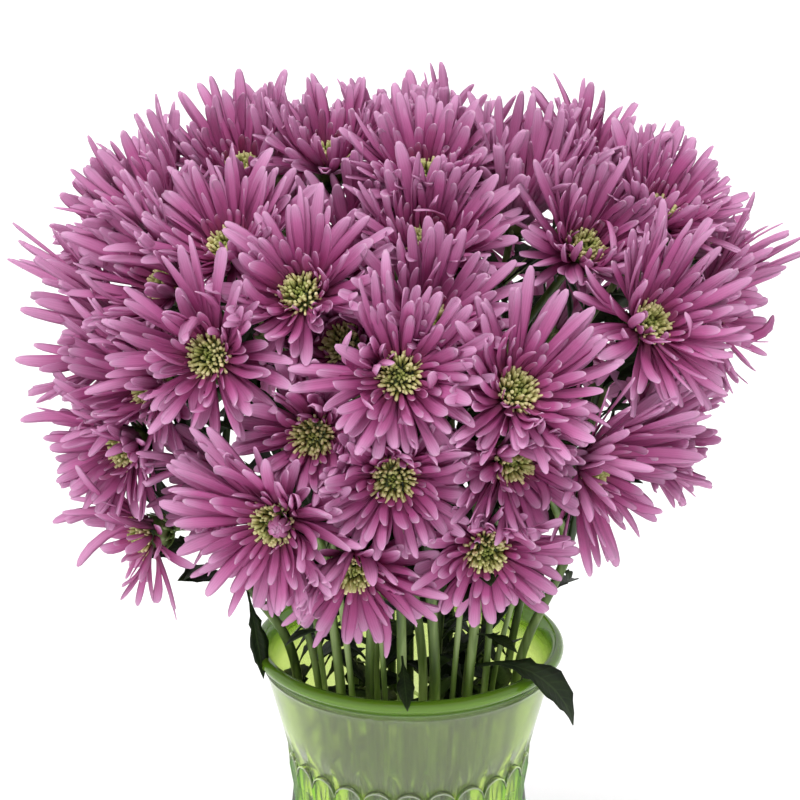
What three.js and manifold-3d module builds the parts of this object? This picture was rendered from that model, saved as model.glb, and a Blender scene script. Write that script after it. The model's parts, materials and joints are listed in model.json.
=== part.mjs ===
// A vase of spray chrysanthemums: a pressed glass vase, water, ten flowering stems and their blooms.
// Millimetres, +Z up. The origin is the middle of the vase's foot, on the surface that it stands on.
// "Turn" is an angle round Z from the front (-Y) towards +X, and "lift" is an angle up from level.

import * as THREE from 'three';
import { mergeGeometries, mergeVertices } from 'three/addons/utils/BufferGeometryUtils.js';
import Module from 'manifold-3d';

const wasm = await Module();
wasm.setup();

// Driving dimensions

const CLEARANCE = 0.3;

const VASE = {
  height: 190,
  rimRadius: 68.5,
  footRadius: 42,
  footHeight: 12,
  reliefTop: 134,
  reliefTopRadius: 51.5,
  reliefFootRadius: 40,
  belly: 1.6,
  reliefDepth: 3,
  reliefGroove: 0.5,
  endRelief: 0.6,
  scallop: 5,
  lozengesAround: 24,
  lozengeRows: 5,
  lipRadius: 3.6,
  ridgeBelowRim: 12.2,
  wall: 4.4,
  floor: 9,
  heel: 6,
  heelHeight: 15,
  flareInset: 2.4,
  innerRimBelowRim: 8,
};

// The vase's foot, as points [inset from the foot's radius, height], and the lip's corners, as angles up
// from level round the middle of the lip.
const FOOT_OUTLINE = [[2, 0], [0, 3], [1, 8]];
const LIP_ANGLES = [-55, 15, 80, 145];

const WATER_LEVEL = 126;
const WATER_SEGMENTS = 24;

const STEM_RADIUS = 2.3;
const STEM_SIDES = 5;

// The hole in the water round each stem. It starts below the water by a share of the stem's length there.
const STEM_HOLE = {
  radius: 2.66,
  below: 0.02,
};

// A twig leaves its stem at a share of the way from the stem's bend to its fork, give or take a spread.
const TWIG = {
  radius: 1.6,
  sides: 5,
  steps: 3,
  leavesAt: 0.75,
  spread: 0.2,
  pull: 0.35,
};

// The head of a twig, from the green cup under the petals to the disc in their middle.
const HEAD = {
  cupDepth: 9,
  cupRadius: 8,
  neckRadius: 3.3,
  neckHeight: 4.6,
  discRadius: 8.5,
  discRimHeight: 6,
  crownHeight: 8.2,
};

// The collar that the petals grow from: a ring of three-cornered section round the neck of the head.
const COLLAR = {
  hole: 4,
  holeHeight: 2.2,
  radius: 10,
  lowEdge: 0.6,
  highEdge: 3.4,
};
const ROOT_TRIANGLE = 3;

const PETAL = {
  wideAt: 0.6,
  bluntAt: 0.92,
  keel: 1.4,
  tipWidth: 3.8,
  tipKeel: 0.8,
  steepest: 28,
  lift: 5,
  shrinks: [1, 0.88, 0.76, 0.64, 0.5, 0.35],
  innerOpen: 0.66,
  innerLength: 0.86,
  openSpread: 5,
  lengthSpread: 0.08,
  bow: 0.02,
  bowSpread: 0.04,
};

// The rounded heap of blooms: where its middle is, and how far out the discs of the blooms lie.
const HEAP = {
  centre: new THREE.Vector3(-2, 0, 318),
  radii: new THREE.Vector3(132, 118, 100),
};

// Each bloom: its place on the heap (turn, lift, share of the heap's radius), the way it faces (turn, lift),
// how far its outer petals open from its axis, the petals' length and width, how many petals it has, and
// the stem that carries it.
const BLOOMS = [
  [-90, 41, 1.07, -72, 50, 70, 46, 9.5, 10, 7],
  [-101, 59, 1.03, -20, 66, 62, 40, 9.5, 10, 7],
  [-51, 46, 1.01, -20, 56, 66, 42, 9, 11, 7],
  [-66, 32, 0.98, -65, 30, 74, 46, 9.5, 10, 1],
  [-84, 12, 0.96, -84, 12, 78, 46, 9.5, 10, 1],
  [-38, 21, 1.04, -18, 26, 84, 44, 9, 13, 2],
  [-59, 8, 0.96, -58, 10, 80, 43, 9, 11, 1],
  [-65, -10, 1.01, -52, -4, 80, 36, 8.5, 11, 1],
  [-47, -19, 0.86, -70, -2, 66, 36, 8.5, 8, 2],
  [-66, -32, 1.11, -76, -12, 84, 34, 8.5, 11, 1],
  [-23, 38, 1.03, -14, 38, 80, 40, 9, 12, 7],
  [-16, 29, 0.8, -14, 30, 60, 34, 8.5, 8, 3],
  [-1, 21, 1.05, 0, 26, 86, 43, 9, 13, 3],
  [-18, 4, 0.91, -10, 10, 78, 38, 9, 11, 2],
  [-24, -16, 1.04, -20, 6, 86, 44, 9, 13, 2],
  [-2, -4, 0.97, 0, 14, 84, 40, 9, 12, 3],
  [20, 17, 1.04, 24, 38, 80, 42, 9, 12, 4],
  [21, -2, 0.95, 32, 2, 82, 42, 9, 12, 4],
  [40, -8, 0.94, 58, 4, 80, 42, 9, 11, 5],
  [16, -25, 1.01, 10, 2, 88, 34, 8.5, 13, 4],
  [-11, -32, 1.01, -6, -12, 86, 38, 9, 12, 3],
  [54, 25, 1.04, 38, 38, 80, 42, 9, 12, 5],
  [88, 16, 1.05, 74, 14, 80, 44, 9.5, 10, 5],
  [67, -11, 0.88, 88, 22, 66, 42, 9.5, 9, 5],
  [59, 46, 0.95, 36, 48, 70, 40, 9.5, 9, 8],
  [82, 43, 1.12, 50, 60, 64, 42, 9.5, 10, 9],
  [106, 26, 1.14, 80, 34, 70, 44, 9.5, 9, 9],
  [14, 76, 0.98, 0, 60, 64, 42, 9, 11, 8],
  [79, 65, 0.85, 40, 78, 58, 44, 9.5, 10, 8],
  [106, 53, 1.08, 70, 66, 62, 42, 9.5, 9, 6],
  [9, 58, 0.88, 12, 60, 64, 40, 9.5, 10, 8],
  [6, 34, 0.94, 20, 46, 66, 40, 9.5, 10, 8],
  [-90, 76, 1.0, -10, 76, 60, 38, 9.5, 9, 6],
  [-173, 72, 1.0, 180, 80, 66, 38, 9.5, 9, 6],
  [151, 65, 1.0, 140, 74, 66, 38, 9.5, 9, 6],
  [-111, 28, 1.14, -96, 42, 70, 42, 9.5, 9, 10],
  [-22, 64, 0.76, -10, 64, 60, 38, 8.5, 8, 7],
  [116, -8, 1.0, 116, 4, 82, 42, 9.5, 8, 9],
  [146, -10, 1.0, 146, 2, 82, 42, 9.5, 8, 9],
  [176, -8, 1.0, 176, 4, 82, 42, 9.5, 8, 10],
  [-150, -10, 1.0, -150, 2, 82, 42, 9.5, 8, 10],
  [-118, -8, 1.0, -118, 4, 82, 42, 9.5, 8, 10],
  [134, 22, 1.0, 134, 28, 80, 43, 9.5, 8, 9],
  [167, 22, 1.0, 168, 28, 80, 43, 9.5, 8, 9],
  [-154, 24, 1.0, -154, 30, 80, 43, 9.5, 8, 10],
  [178, 48, 1.0, 178, 56, 74, 43, 9.5, 8, 6],
  [-134, 50, 1.0, -136, 58, 74, 43, 9.5, 8, 10],
  [90, -20, 0.97, 92, -8, 80, 38, 9.5, 8, 5],
];

// Each main stem: its turn, how far from the axis it stands on the floor, passes the mouth and forks,
// and the height of the fork.
const STEMS = [
  [-78, 25, 52, 74, 228],
  [-42, 25, 45, 52, 236],
  [-4, 25, 45, 52, 238],
  [32, 25, 48, 56, 238],
  [67, 25, 52, 72, 240],
  [180, 7, 10, 14, 300],
  [-62, 9, 18, 30, 286],
  [42, 9, 18, 28, 286],
  [124, 25, 42, 46, 240],
  [-140, 25, 42, 46, 240],
];

// Each leaf: its stem, the height where it leaves it, its turn and lift there, how far it droops by its
// tip, how far its blade rolls round its own line, its length and its width.
const LEAVES = [
  [1, 224, 20, -66, 6, 0, 38, 15],
  [4, 198, 84, 25, 98, 28, 72, 17],
  [3, 207, 6, -28, 14, 0, 29, 9],
  [5, 236, 84, 30, 130, 20, 22, 9],
  [2, 212, -70, 20, 60, 10, 34, 12],
  [4, 214, 50, 20, 50, 10, 34, 12],
  [5, 222, 110, 15, 60, 0, 38, 13],
  [9, 210, 130, 15, 80, 10, 48, 16],
  [10, 212, -150, 10, 80, -10, 48, 16],
  [1, 214, -120, 15, 60, 0, 40, 14],
  [9, 224, 165, 20, 60, 0, 44, 15],
  [10, 226, -118, 20, 60, 10, 40, 14],
  [6, 236, 175, 25, 60, 0, 46, 16],
  [7, 236, -40, 30, 60, 0, 34, 14],
  [8, 236, 20, 30, 60, 0, 34, 14],
];

// The outline of a leaf, cut into lobes: shares of its length with shares of its width.
const LEAF_OUTLINE = [
  [0, 0.14],
  [0.2, 0.2],
  [0.36, 0.85],
  [0.46, 0.42],
  [0.62, 1],
  [0.72, 0.5],
  [0.84, 0.6],
];
const LEAF_WIDEST = 4;
const LEAF_KEEL = 1.3;

const PURPLE = new THREE.Color(0xb065a4);
const GREEN = new THREE.Color(0x6f9a4a);
const GLASS_GREEN = new THREE.Color(0x9fd07a);
const WATER_TINT = new THREE.Color(0xd8e6d2);

// Directions, seeded numbers and solids

function direction(turn, lift) {
  const turnRadians = THREE.MathUtils.degToRad(turn);
  const liftRadians = THREE.MathUtils.degToRad(lift);
  const level = Math.cos(liftRadians);
  return new THREE.Vector3(
    Math.sin(turnRadians) * level,
    -Math.cos(turnRadians) * level,
    Math.sin(liftRadians),
  );
}

// The same random number from -1 to 1 each time, for a bloom and the number of a draw.
function jitter(bloomNumber, draw) {
  const wave = Math.sin(bloomNumber * 127.1 + draw * 311.7) * 43758.5453;
  return (wave - Math.floor(wave)) * 2 - 1;
}

function toSolid(geometry) {
  const bare = geometry.clone();
  bare.deleteAttribute('normal');
  bare.deleteAttribute('uv');
  const merged = mergeVertices(bare, 1e-4);
  const corners = merged.index.array;
  const triangles = [];
  for (let at = 0; at < corners.length; at += 3) {
    const [a, b, c] = corners.slice(at, at + 3);
    if (a !== b && b !== c && c !== a) {
      triangles.push(a, b, c);
    }
  }
  return new wasm.Manifold(new wasm.Mesh({
    numProp: 3,
    vertProperties: new Float32Array(merged.attributes.position.array),
    triVerts: new Uint32Array(triangles),
  }));
}

function toGeometry(solid) {
  const mesh = solid.getMesh();
  const geometry = new THREE.BufferGeometry();
  geometry.setAttribute('position', new THREE.BufferAttribute(new Float32Array(mesh.vertProperties), 3));
  geometry.setIndex(new THREE.BufferAttribute(new Uint32Array(mesh.triVerts), 1));
  geometry.computeVertexNormals();
  return geometry;
}

function joinAll(solids) {
  return solids.reduce((whole, piece) => whole.add(piece));
}

// A bar whose cross-sections are placed one by one: section(step, corner) gives each corner, and the
// corners run anticlockwise when seen from the bar's far end. Its ends are closed by flat fans of
// triangles round the middle of the end's corners.
function placedBar(sectionCount, cornerCount, section, openEnded = false) {
  const bar = new THREE.CylinderGeometry(1, 1, 1, cornerCount, sectionCount - 1, openEnded);
  const position = bar.attributes.position;
  const corner = new THREE.Vector3();
  for (let index = 0; index < position.count; index += 1) {
    corner.fromBufferAttribute(position, index);
    const step = Math.round((corner.y + 0.5) * (sectionCount - 1));
    const onAxis = Math.hypot(corner.x, corner.z) < 0.5;
    const around = Math.round((Math.atan2(corner.x, corner.z) / (2 * Math.PI)) * cornerCount);
    const place = onAxis
      ? middleOf(section, step, cornerCount)
      : section(step, (around + cornerCount) % cornerCount);
    position.setXYZ(index, place.x, place.y, place.z);
  }
  return bar;
}

function middleOf(section, step, cornerCount) {
  const middle = new THREE.Vector3();
  for (let corner = 0; corner < cornerCount; corner += 1) {
    middle.addScaledVector(section(step, corner), 1 / cornerCount);
  }
  return middle;
}

// Two directions square to a third, in which the corners of its sections are laid out.
function frameOf(along) {
  const helper = Math.abs(along.y) < 0.9 ? new THREE.Vector3(0, 1, 0) : new THREE.Vector3(1, 0, 0);
  const across = new THREE.Vector3().crossVectors(helper, along).normalize();
  const over = new THREE.Vector3().crossVectors(along, across);
  return { across, over };
}

// A round bar along a list of points, with a radius at each and the given directions at its sections.
function roundBar(points, radii, directions, sides) {
  const frames = directions.map(frameOf);
  return placedBar(points.length, sides, (step, corner) => {
    const angle = (corner / sides) * 2 * Math.PI;
    return points[step].clone()
      .addScaledVector(frames[step].across, radii[step] * Math.cos(angle))
      .addScaledVector(frames[step].over, radii[step] * Math.sin(angle));
  });
}

// The vase: one closed profile turned round Z, with lozenges raised on the outside by a formula

function taperedRadius(height) {
  const share = (height - VASE.footHeight) / (VASE.reliefTop - VASE.footHeight);
  return THREE.MathUtils.lerp(VASE.reliefFootRadius, VASE.reliefTopRadius, share);
}

function vaseOuterRadius(height) {
  const share = (height - VASE.footHeight) / (VASE.reliefTop - VASE.footHeight);
  return taperedRadius(height) + VASE.belly * Math.sin(Math.PI * share);
}

function vaseInnerRadius(height) {
  if (height < VASE.reliefTop) {
    return taperedRadius(height) - VASE.wall;
  }
  const share = (height - VASE.reliefTop) / (VASE.height - VASE.reliefTop);
  return THREE.MathUtils.lerp(VASE.reliefTopRadius, VASE.rimRadius - VASE.flareInset, share) - VASE.wall;
}

function lipPoints() {
  const points = [];
  const centreRadius = VASE.rimRadius - VASE.lipRadius;
  const centreHeight = VASE.height - VASE.lipRadius;
  for (const angle of LIP_ANGLES) {
    const radians = THREE.MathUtils.degToRad(angle);
    points.push(new THREE.Vector2(
      centreRadius + VASE.lipRadius * Math.cos(radians),
      centreHeight + VASE.lipRadius * Math.sin(radians),
    ));
  }
  return points;
}

function vaseProfile() {
  const foot = FOOT_OUTLINE.map(([inset, height]) => new THREE.Vector2(VASE.footRadius - inset, height));
  const profile = [new THREE.Vector2(0, 0), ...foot];
  for (let row = 0; row <= VASE.lozengeRows; row += 1) {
    const height = THREE.MathUtils.lerp(VASE.footHeight, VASE.reliefTop, row / VASE.lozengeRows);
    profile.push(new THREE.Vector2(vaseOuterRadius(height), height));
  }
  const ridgeHeight = VASE.height - VASE.ridgeBelowRim;
  const innerRimHeight = VASE.height - VASE.innerRimBelowRim;
  profile.push(new THREE.Vector2(VASE.reliefTopRadius, VASE.reliefTop + VASE.reliefDepth));
  profile.push(new THREE.Vector2(vaseInnerRadius(ridgeHeight) + VASE.wall, ridgeHeight));
  profile.push(...lipPoints());
  profile.push(new THREE.Vector2(vaseInnerRadius(innerRimHeight), innerRimHeight));
  profile.push(new THREE.Vector2(vaseInnerRadius(VASE.reliefTop), VASE.reliefTop));
  profile.push(new THREE.Vector2(vaseInnerRadius(VASE.heelHeight), VASE.heelHeight));
  profile.push(new THREE.Vector2(vaseInnerRadius(VASE.heelHeight) - VASE.heel, VASE.floor));
  profile.push(new THREE.Vector2(0, VASE.floor));
  return profile;
}

// Moves every other corner of the relief's grid out, and splits each square between its low corners,
// so that each raised corner becomes a four-sided lozenge.
function raiseLozenges(geometry, profileCount) {
  const firstRow = FOOT_OUTLINE.length + 1;
  const position = geometry.attributes.position;
  const segments = VASE.lozengesAround * 2;
  const point = new THREE.Vector3();
  for (let segment = 0; segment <= segments; segment += 1) {
    for (let row = 0; row <= VASE.lozengeRows; row += 1) {
      const index = segment * profileCount + firstRow + row;
      point.fromBufferAttribute(position, index);
      const high = (segment + row) % 2 === 0;
      const radius = Math.hypot(point.x, point.z);
      const atEnd = row === 0 || row === VASE.lozengeRows;
      const raise = high ? VASE.reliefDepth * (atEnd ? VASE.endRelief : 1) : -VASE.reliefGroove;
      const drop = row === VASE.lozengeRows && !high ? -VASE.scallop : 0;
      const scale = (radius + raise) / radius;
      position.setXYZ(index, point.x * scale, point.y + drop, point.z * scale);
    }
  }
  const corners = geometry.index.array;
  for (let segment = 0; segment < segments; segment += 1) {
    for (let row = 0; row < VASE.lozengeRows; row += 1) {
      const a = segment * profileCount + firstRow + row;
      const d = a + 1;
      const b = a + profileCount;
      const c = b + 1;
      const at = 6 * (segment * (profileCount - 1) + firstRow + row);
      const lowFirst = (segment + row) % 2 === 1;
      const square = lowFirst ? [a, b, c, c, d, a] : [a, b, d, c, d, b];
      corners.set(square, at);
    }
  }
}

function makeVase() {
  const profile = vaseProfile();
  const geometry = new THREE.LatheGeometry(profile, VASE.lozengesAround * 2);
  raiseLozenges(geometry, profile.length);
  geometry.rotateX(Math.PI / 2);
  return toGeometry(toSolid(geometry));
}

// Stems, twigs, heads and leaves

function stemPoints([turn, footOut, mouthOut, forkOut, forkHeight]) {
  const at = (out, height) => direction(turn, 0).multiplyScalar(out).setZ(height);
  const bend = at(THREE.MathUtils.lerp(mouthOut, forkOut, 0.5), (VASE.height + forkHeight) / 2);
  return [at(footOut, VASE.floor + CLEARANCE), at(mouthOut, VASE.height), bend, at(forkOut, forkHeight)];
}

function directionsAlong(points) {
  return points.map((point, index) => {
    const before = points[Math.max(index - 1, 0)];
    const after = points[Math.min(index + 1, points.length - 1)];
    return after.clone().sub(before).normalize();
  });
}

function makeStem(points, radius) {
  return roundBar(points, points.map(() => radius), directionsAlong(points), STEM_SIDES);
}

// A twig leaves the stem near its fork, and reaches the bloom along the bloom's own axis.
function twigCurve(bloom) {
  const stem = stemPoints(STEMS[bloom.stem - 1]);
  const fork = stem[3];
  const start = stem[2].clone().lerp(fork, TWIG.leavesAt + TWIG.spread * jitter(bloom.number, 0));
  const cupBottom = bloom.base.clone().addScaledVector(bloom.axis, -HEAD.cupDepth);
  const length = start.distanceTo(cupBottom);
  const rise = fork.clone().sub(stem[2]).normalize();
  return new THREE.CubicBezierCurve3(
    start,
    start.clone().addScaledVector(rise, length * TWIG.pull),
    cupBottom.clone().addScaledVector(bloom.axis, -length * TWIG.pull),
    cupBottom,
  );
}

function twigPoints(bloom) {
  return twigCurve(bloom).getPoints(TWIG.steps);
}

function makeTwigAndHead(bloom) {
  const points = twigPoints(bloom);
  const radii = points.map(() => TWIG.radius);
  const directions = directionsAlong(points);
  directions[points.length - 1] = bloom.axis;
  const headSections = [
    [HEAD.cupRadius, 0],
    [HEAD.neckRadius, 0],
    [HEAD.neckRadius, HEAD.neckHeight],
    [HEAD.discRadius, HEAD.discRimHeight],
    [0, HEAD.crownHeight],
  ];
  for (const [radius, height] of headSections) {
    points.push(bloom.base.clone().addScaledVector(bloom.axis, height));
    radii.push(radius);
    directions.push(bloom.axis);
  }
  return roundBar(points, radii, directions, TWIG.sides);
}

// Blooms

function bloomFromRow(row, index) {
  const [turn, lift, share, faceTurn, faceLift, open, length, width, petals, stem] = row;
  const heart = direction(turn, lift).multiply(HEAP.radii).multiplyScalar(share).add(HEAP.centre);
  const axis = direction(faceTurn, faceLift);
  const base = heart.clone().addScaledVector(axis, -HEAD.crownHeight);
  return { number: index + 1, heart, axis, base, open, length, width, petals, stem };
}

const blooms = BLOOMS.map(bloomFromRow);

// The planes between a bloom and each other bloom: its petals stay on its own side of them all.
function cellPlanes(bloom) {
  return blooms.filter((other) => other !== bloom).map((other) => {
    const apart = other.heart.clone().sub(bloom.heart);
    const share = bloom.length / (bloom.length + other.length);
    const distance = apart.length() * share - CLEARANCE;
    const normal = apart.normalize();
    return new THREE.Plane(normal, -distance - normal.dot(bloom.heart));
  });
}

// The stems, the other blooms' twigs and the leaves, as thick lines that petals stay clear of.
function barsToClear(bloom) {
  const stems = STEMS.flatMap((row) => segmentsOf(stemPoints(row), STEM_RADIUS));
  const twigs = blooms
    .filter((other) => other !== bloom)
    .flatMap((other) => segmentsOf(twigPoints(other), TWIG.radius));
  const leaves = LEAVES.flatMap((leaf) => {
    const { sections } = leafShape(leaf);
    return segmentsOf(sections.map((section) => section.middle), sections[LEAF_WIDEST].halfWidth);
  });
  return [...stems, ...twigs, ...leaves];
}

function segmentsOf(points, radius) {
  return points.slice(1).map((point, index) => ({ line: new THREE.Line3(points[index], point), radius }));
}

// One cross-section of a petal or a leaf: two edges, and a keel under its middle.
function bladeSection(middle, across, up, width, keel) {
  return {
    middle,
    corners: [
      middle.clone().addScaledVector(across, width / 2).addScaledVector(up, keel / 2),
      middle.clone().addScaledVector(across, -width / 2).addScaledVector(up, keel / 2),
      middle.clone().addScaledVector(up, -keel / 2),
    ],
    halfWidth: width / 2,
  };
}

function makeBlade(sections, tip, openEnded) {
  const place = (step, corner) => (step < sections.length ? sections[step].corners[corner] : tip);
  return placedBar(sections.length + 1, 3, place, openEnded);
}

// A point of a bloom's collar. Steps count the petals round it, and may be halves.
function collarPoint(bloom, radius, height, step) {
  const { across, over } = frameOf(bloom.axis);
  const angle = ((step % bloom.petals) / bloom.petals) * 2 * Math.PI;
  return bloom.base.clone()
    .addScaledVector(bloom.axis, height)
    .addScaledVector(across, radius * Math.cos(angle))
    .addScaledVector(over, radius * Math.sin(angle));
}

// The collar's wall is a zigzag of triangles. Every other one is left open, for the root of a petal.
function makeCollar(bloom) {
  const corners = [
    [COLLAR.hole, COLLAR.holeHeight, 0],
    [COLLAR.radius, COLLAR.lowEdge, -0.5],
    [COLLAR.radius, COLLAR.highEdge, 0],
    [COLLAR.hole, COLLAR.holeHeight, 0],
  ];
  const profile = corners.map(([radius, height]) => new THREE.Vector2(radius, height));
  const collar = new THREE.LatheGeometry(profile, bloom.petals);
  for (let step = 0; step <= bloom.petals; step += 1) {
    corners.forEach(([radius, height, twist], index) => {
      const place = collarPoint(bloom, radius, height, step + bloom.petals + twist);
      collar.attributes.position.setXYZ(step * corners.length + index, place.x, place.y, place.z);
    });
  }
  const trianglesPerPetal = 2 * (corners.length - 1);
  const isRoot = (corner, at) => Math.floor(at / 3) % trianglesPerPetal === ROOT_TRIANGLE;
  collar.setIndex([...collar.index.array].filter((corner, at) => !isRoot(corner, at)));
  return collar;
}

// A petal's sections and tip. Its root is the open triangle of the collar's wall at its own step.
function petalShape(bloom, index, opening, length, bow) {
  const rootCorners = [
    collarPoint(bloom, COLLAR.radius, COLLAR.highEdge, index + 1),
    collarPoint(bloom, COLLAR.radius, COLLAR.highEdge, index),
    collarPoint(bloom, COLLAR.radius, COLLAR.lowEdge, index + 0.5),
  ];
  const root = rootCorners[0].clone().lerp(rootCorners[1], 0.5);
  const out = collarPoint(bloom, 1, 0, index + 0.5).sub(bloom.base);
  const across = new THREE.Vector3().crossVectors(bloom.axis, out);
  const along = bloom.axis.clone().multiplyScalar(Math.cos(opening)).addScaledVector(out, Math.sin(opening));
  const up = new THREE.Vector3().crossVectors(along, across);
  const pointAt = (share) => root.clone()
    .addScaledVector(along, length * share)
    .addScaledVector(up, length * bow * 4 * share * (1 - share));
  const sections = [
    { middle: root, corners: rootCorners, halfWidth: rootCorners[0].distanceTo(root) },
    bladeSection(pointAt(PETAL.wideAt), across, up, bloom.width, PETAL.keel),
    bladeSection(pointAt(PETAL.bluntAt), across, up, PETAL.tipWidth, PETAL.tipKeel),
  ];
  return { sections, tip: pointAt(1) };
}

function petalIsClear({ sections, tip }, planes, bars) {
  const corners = [tip, ...sections.flatMap((section) => section.corners)];
  if (planes.some((plane) => corners.some((corner) => plane.distanceToPoint(corner) > 0))) {
    return false;
  }
  const nearest = new THREE.Vector3();
  for (let index = 0; index + 1 < sections.length; index += 1) {
    const from = sections[index];
    const to = sections[index + 1];
    for (const share of [0.25, 0.5, 0.75, 1]) {
      const point = from.middle.clone().lerp(to.middle, share);
      const room = THREE.MathUtils.lerp(from.halfWidth, to.halfWidth, share) + CLEARANCE;
      const touches = bars.some((bar) => (
        bar.line.closestPointToPoint(point, true, nearest).distanceTo(point) < bar.radius + room
      ));
      if (touches) {
        return false;
      }
    }
  }
  return true;
}

// Raises a petal towards the bloom's axis in small steps, then shortens it, until it is clear.
function fittedPetal(bloom, index, opening, length, bow, planes, bars) {
  let petal;
  for (const shrink of PETAL.shrinks) {
    for (let lifted = opening; lifted >= PETAL.steepest; lifted -= PETAL.lift) {
      petal = petalShape(bloom, index, THREE.MathUtils.degToRad(lifted), length * shrink, bow);
      if (petalIsClear(petal, planes, bars)) {
        return petal;
      }
    }
  }
  return petal;
}

function makePetals(bloom) {
  const planes = cellPlanes(bloom);
  const bars = barsToClear(bloom);
  const petals = [];
  for (let index = 0; index < bloom.petals; index += 1) {
    const inner = index % 2 === 1;
    const draw = 1 + index * 3;
    const opening = bloom.open * (inner ? PETAL.innerOpen : 1)
      + PETAL.openSpread * jitter(bloom.number, draw);
    const reach = bloom.length * (inner ? PETAL.innerLength : 1)
      * (1 + PETAL.lengthSpread * jitter(bloom.number, draw + 1));
    const bow = PETAL.bow + PETAL.bowSpread * jitter(bloom.number, draw + 2);
    const { sections, tip } = fittedPetal(bloom, index, opening, reach, bow, planes, bars);
    petals.push(makeBlade(sections, tip, true));
  }
  return petals;
}

function makeBloom(bloom) {
  const sheets = [makeCollar(bloom), ...makePetals(bloom)];
  return toGeometry(toSolid(mergeGeometries(sheets)));
}

// Leaves, and the whole of each flowering stem

function leafShape([stem, height, turn, lift, droop, roll, length, width]) {
  const points = stemPoints(STEMS[stem - 1]);
  const above = points.findIndex((point) => point.z > height);
  const share = (height - points[above - 1].z) / (points[above].z - points[above - 1].z);
  const start = points[above - 1].clone().lerp(points[above], share);
  const middle = start.clone().addScaledVector(direction(turn, lift), length / 2);
  const end = middle.clone().addScaledVector(direction(turn, lift - droop), length / 2);
  const arch = new THREE.QuadraticBezierCurve3(start, middle, end);
  const rollRadians = THREE.MathUtils.degToRad(roll);
  const sections = LEAF_OUTLINE.map(([along, wide]) => {
    const tangent = arch.getTangent(along);
    const across = direction(turn + 90, 0).applyAxisAngle(tangent, rollRadians);
    const up = new THREE.Vector3().crossVectors(tangent, across);
    return bladeSection(arch.getPoint(along), across, up, width * wide, LEAF_KEEL);
  });
  return { sections, tip: end };
}

function makeSpray(row, index) {
  const number = index + 1;
  const stem = makeStem(stemPoints(row), STEM_RADIUS);
  const twigs = blooms.filter((bloom) => bloom.stem === number).map(makeTwigAndHead);
  const leaves = LEAVES.filter((leaf) => leaf[0] === number).map((leaf) => {
    const { sections, tip } = leafShape(leaf);
    return makeBlade(sections, tip, false);
  });
  return toGeometry(joinAll([stem, ...twigs, ...leaves].map(toSolid)));
}

// The water, with a plain hole round each stem

function makeWater() {
  const side = (height) => new THREE.Vector2(vaseInnerRadius(height) - CLEARANCE, height);
  const bottom = VASE.floor + CLEARANCE;
  const profile = [
    new THREE.Vector2(0, bottom),
    new THREE.Vector2(vaseInnerRadius(VASE.heelHeight) - VASE.heel - CLEARANCE, bottom),
    side(VASE.heelHeight),
    side(WATER_LEVEL),
    new THREE.Vector2(0, WATER_LEVEL),
  ];
  const body = new THREE.LatheGeometry(profile, WATER_SEGMENTS);
  body.rotateX(Math.PI / 2);
  const holes = STEMS.map((row) => {
    const [foot, mouth] = stemPoints(row);
    return makeStem([foot.clone().lerp(mouth, -STEM_HOLE.below), mouth], STEM_HOLE.radius);
  });
  return toGeometry(toSolid(body).subtract(joinAll(holes.map(toSolid))));
}

// The scene graph: one mesh for each piece

const group = new THREE.Group();

function addNode(name, geometry, color, roughness) {
  const mesh = new THREE.Mesh(geometry, new THREE.MeshStandardMaterial({ color, roughness, metalness: 0 }));
  mesh.name = name;
  group.add(mesh);
}

function numbered(word, number) {
  return `${word}_${String(number).padStart(2, '0')}`;
}

addNode('vase', makeVase(), GLASS_GREEN, 0.1);
addNode('water', makeWater(), WATER_TINT, 0.05);
STEMS.forEach((row, index) => addNode(numbered('spray', index + 1), makeSpray(row, index), GREEN, 0.6));
for (const bloom of blooms) {
  addNode(numbered('bloom', bloom.number), makeBloom(bloom), PURPLE, 0.7);
}

export default group;
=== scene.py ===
"""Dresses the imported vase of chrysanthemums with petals, flower discs, stems, leaves and pressed glass.

Lengths in the tables are millimetres, as in the part's source, and meshes are made in metres.
"Turn" is an angle round Z from the front (-Y) towards +X, and "lift" is an angle up from level.
"""

import json
import math

import bpy
import numpy as np
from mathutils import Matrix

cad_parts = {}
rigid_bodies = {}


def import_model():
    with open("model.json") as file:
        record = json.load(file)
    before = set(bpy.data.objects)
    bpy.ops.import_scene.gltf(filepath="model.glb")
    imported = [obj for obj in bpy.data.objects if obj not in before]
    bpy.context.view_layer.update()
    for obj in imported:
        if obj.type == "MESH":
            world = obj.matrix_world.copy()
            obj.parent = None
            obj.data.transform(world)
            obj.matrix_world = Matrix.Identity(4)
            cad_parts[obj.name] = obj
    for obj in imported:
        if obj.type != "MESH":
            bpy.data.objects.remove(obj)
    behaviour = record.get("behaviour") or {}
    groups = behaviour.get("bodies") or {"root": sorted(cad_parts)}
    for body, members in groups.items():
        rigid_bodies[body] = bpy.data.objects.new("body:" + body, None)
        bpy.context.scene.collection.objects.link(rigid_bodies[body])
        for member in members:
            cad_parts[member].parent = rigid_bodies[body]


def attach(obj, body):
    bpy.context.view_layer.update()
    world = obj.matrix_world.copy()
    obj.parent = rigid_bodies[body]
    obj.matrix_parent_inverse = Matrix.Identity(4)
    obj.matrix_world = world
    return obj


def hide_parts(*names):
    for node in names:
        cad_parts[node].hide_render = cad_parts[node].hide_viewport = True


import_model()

bl_info = {
    "name": "Vase of Chrysanthemums",
    "version": (1, 0, 0),
    "blender": (4, 5, 0),
    "location": "3D View > Sidebar > Flowers",
    "description": "Makes the petals, discs, stems, leaves, glass and water of a vase of chrysanthemums",
    "category": "Object",
}

MM = 0.001
BODY = "root"

# Sizes that the part's source has too

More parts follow.
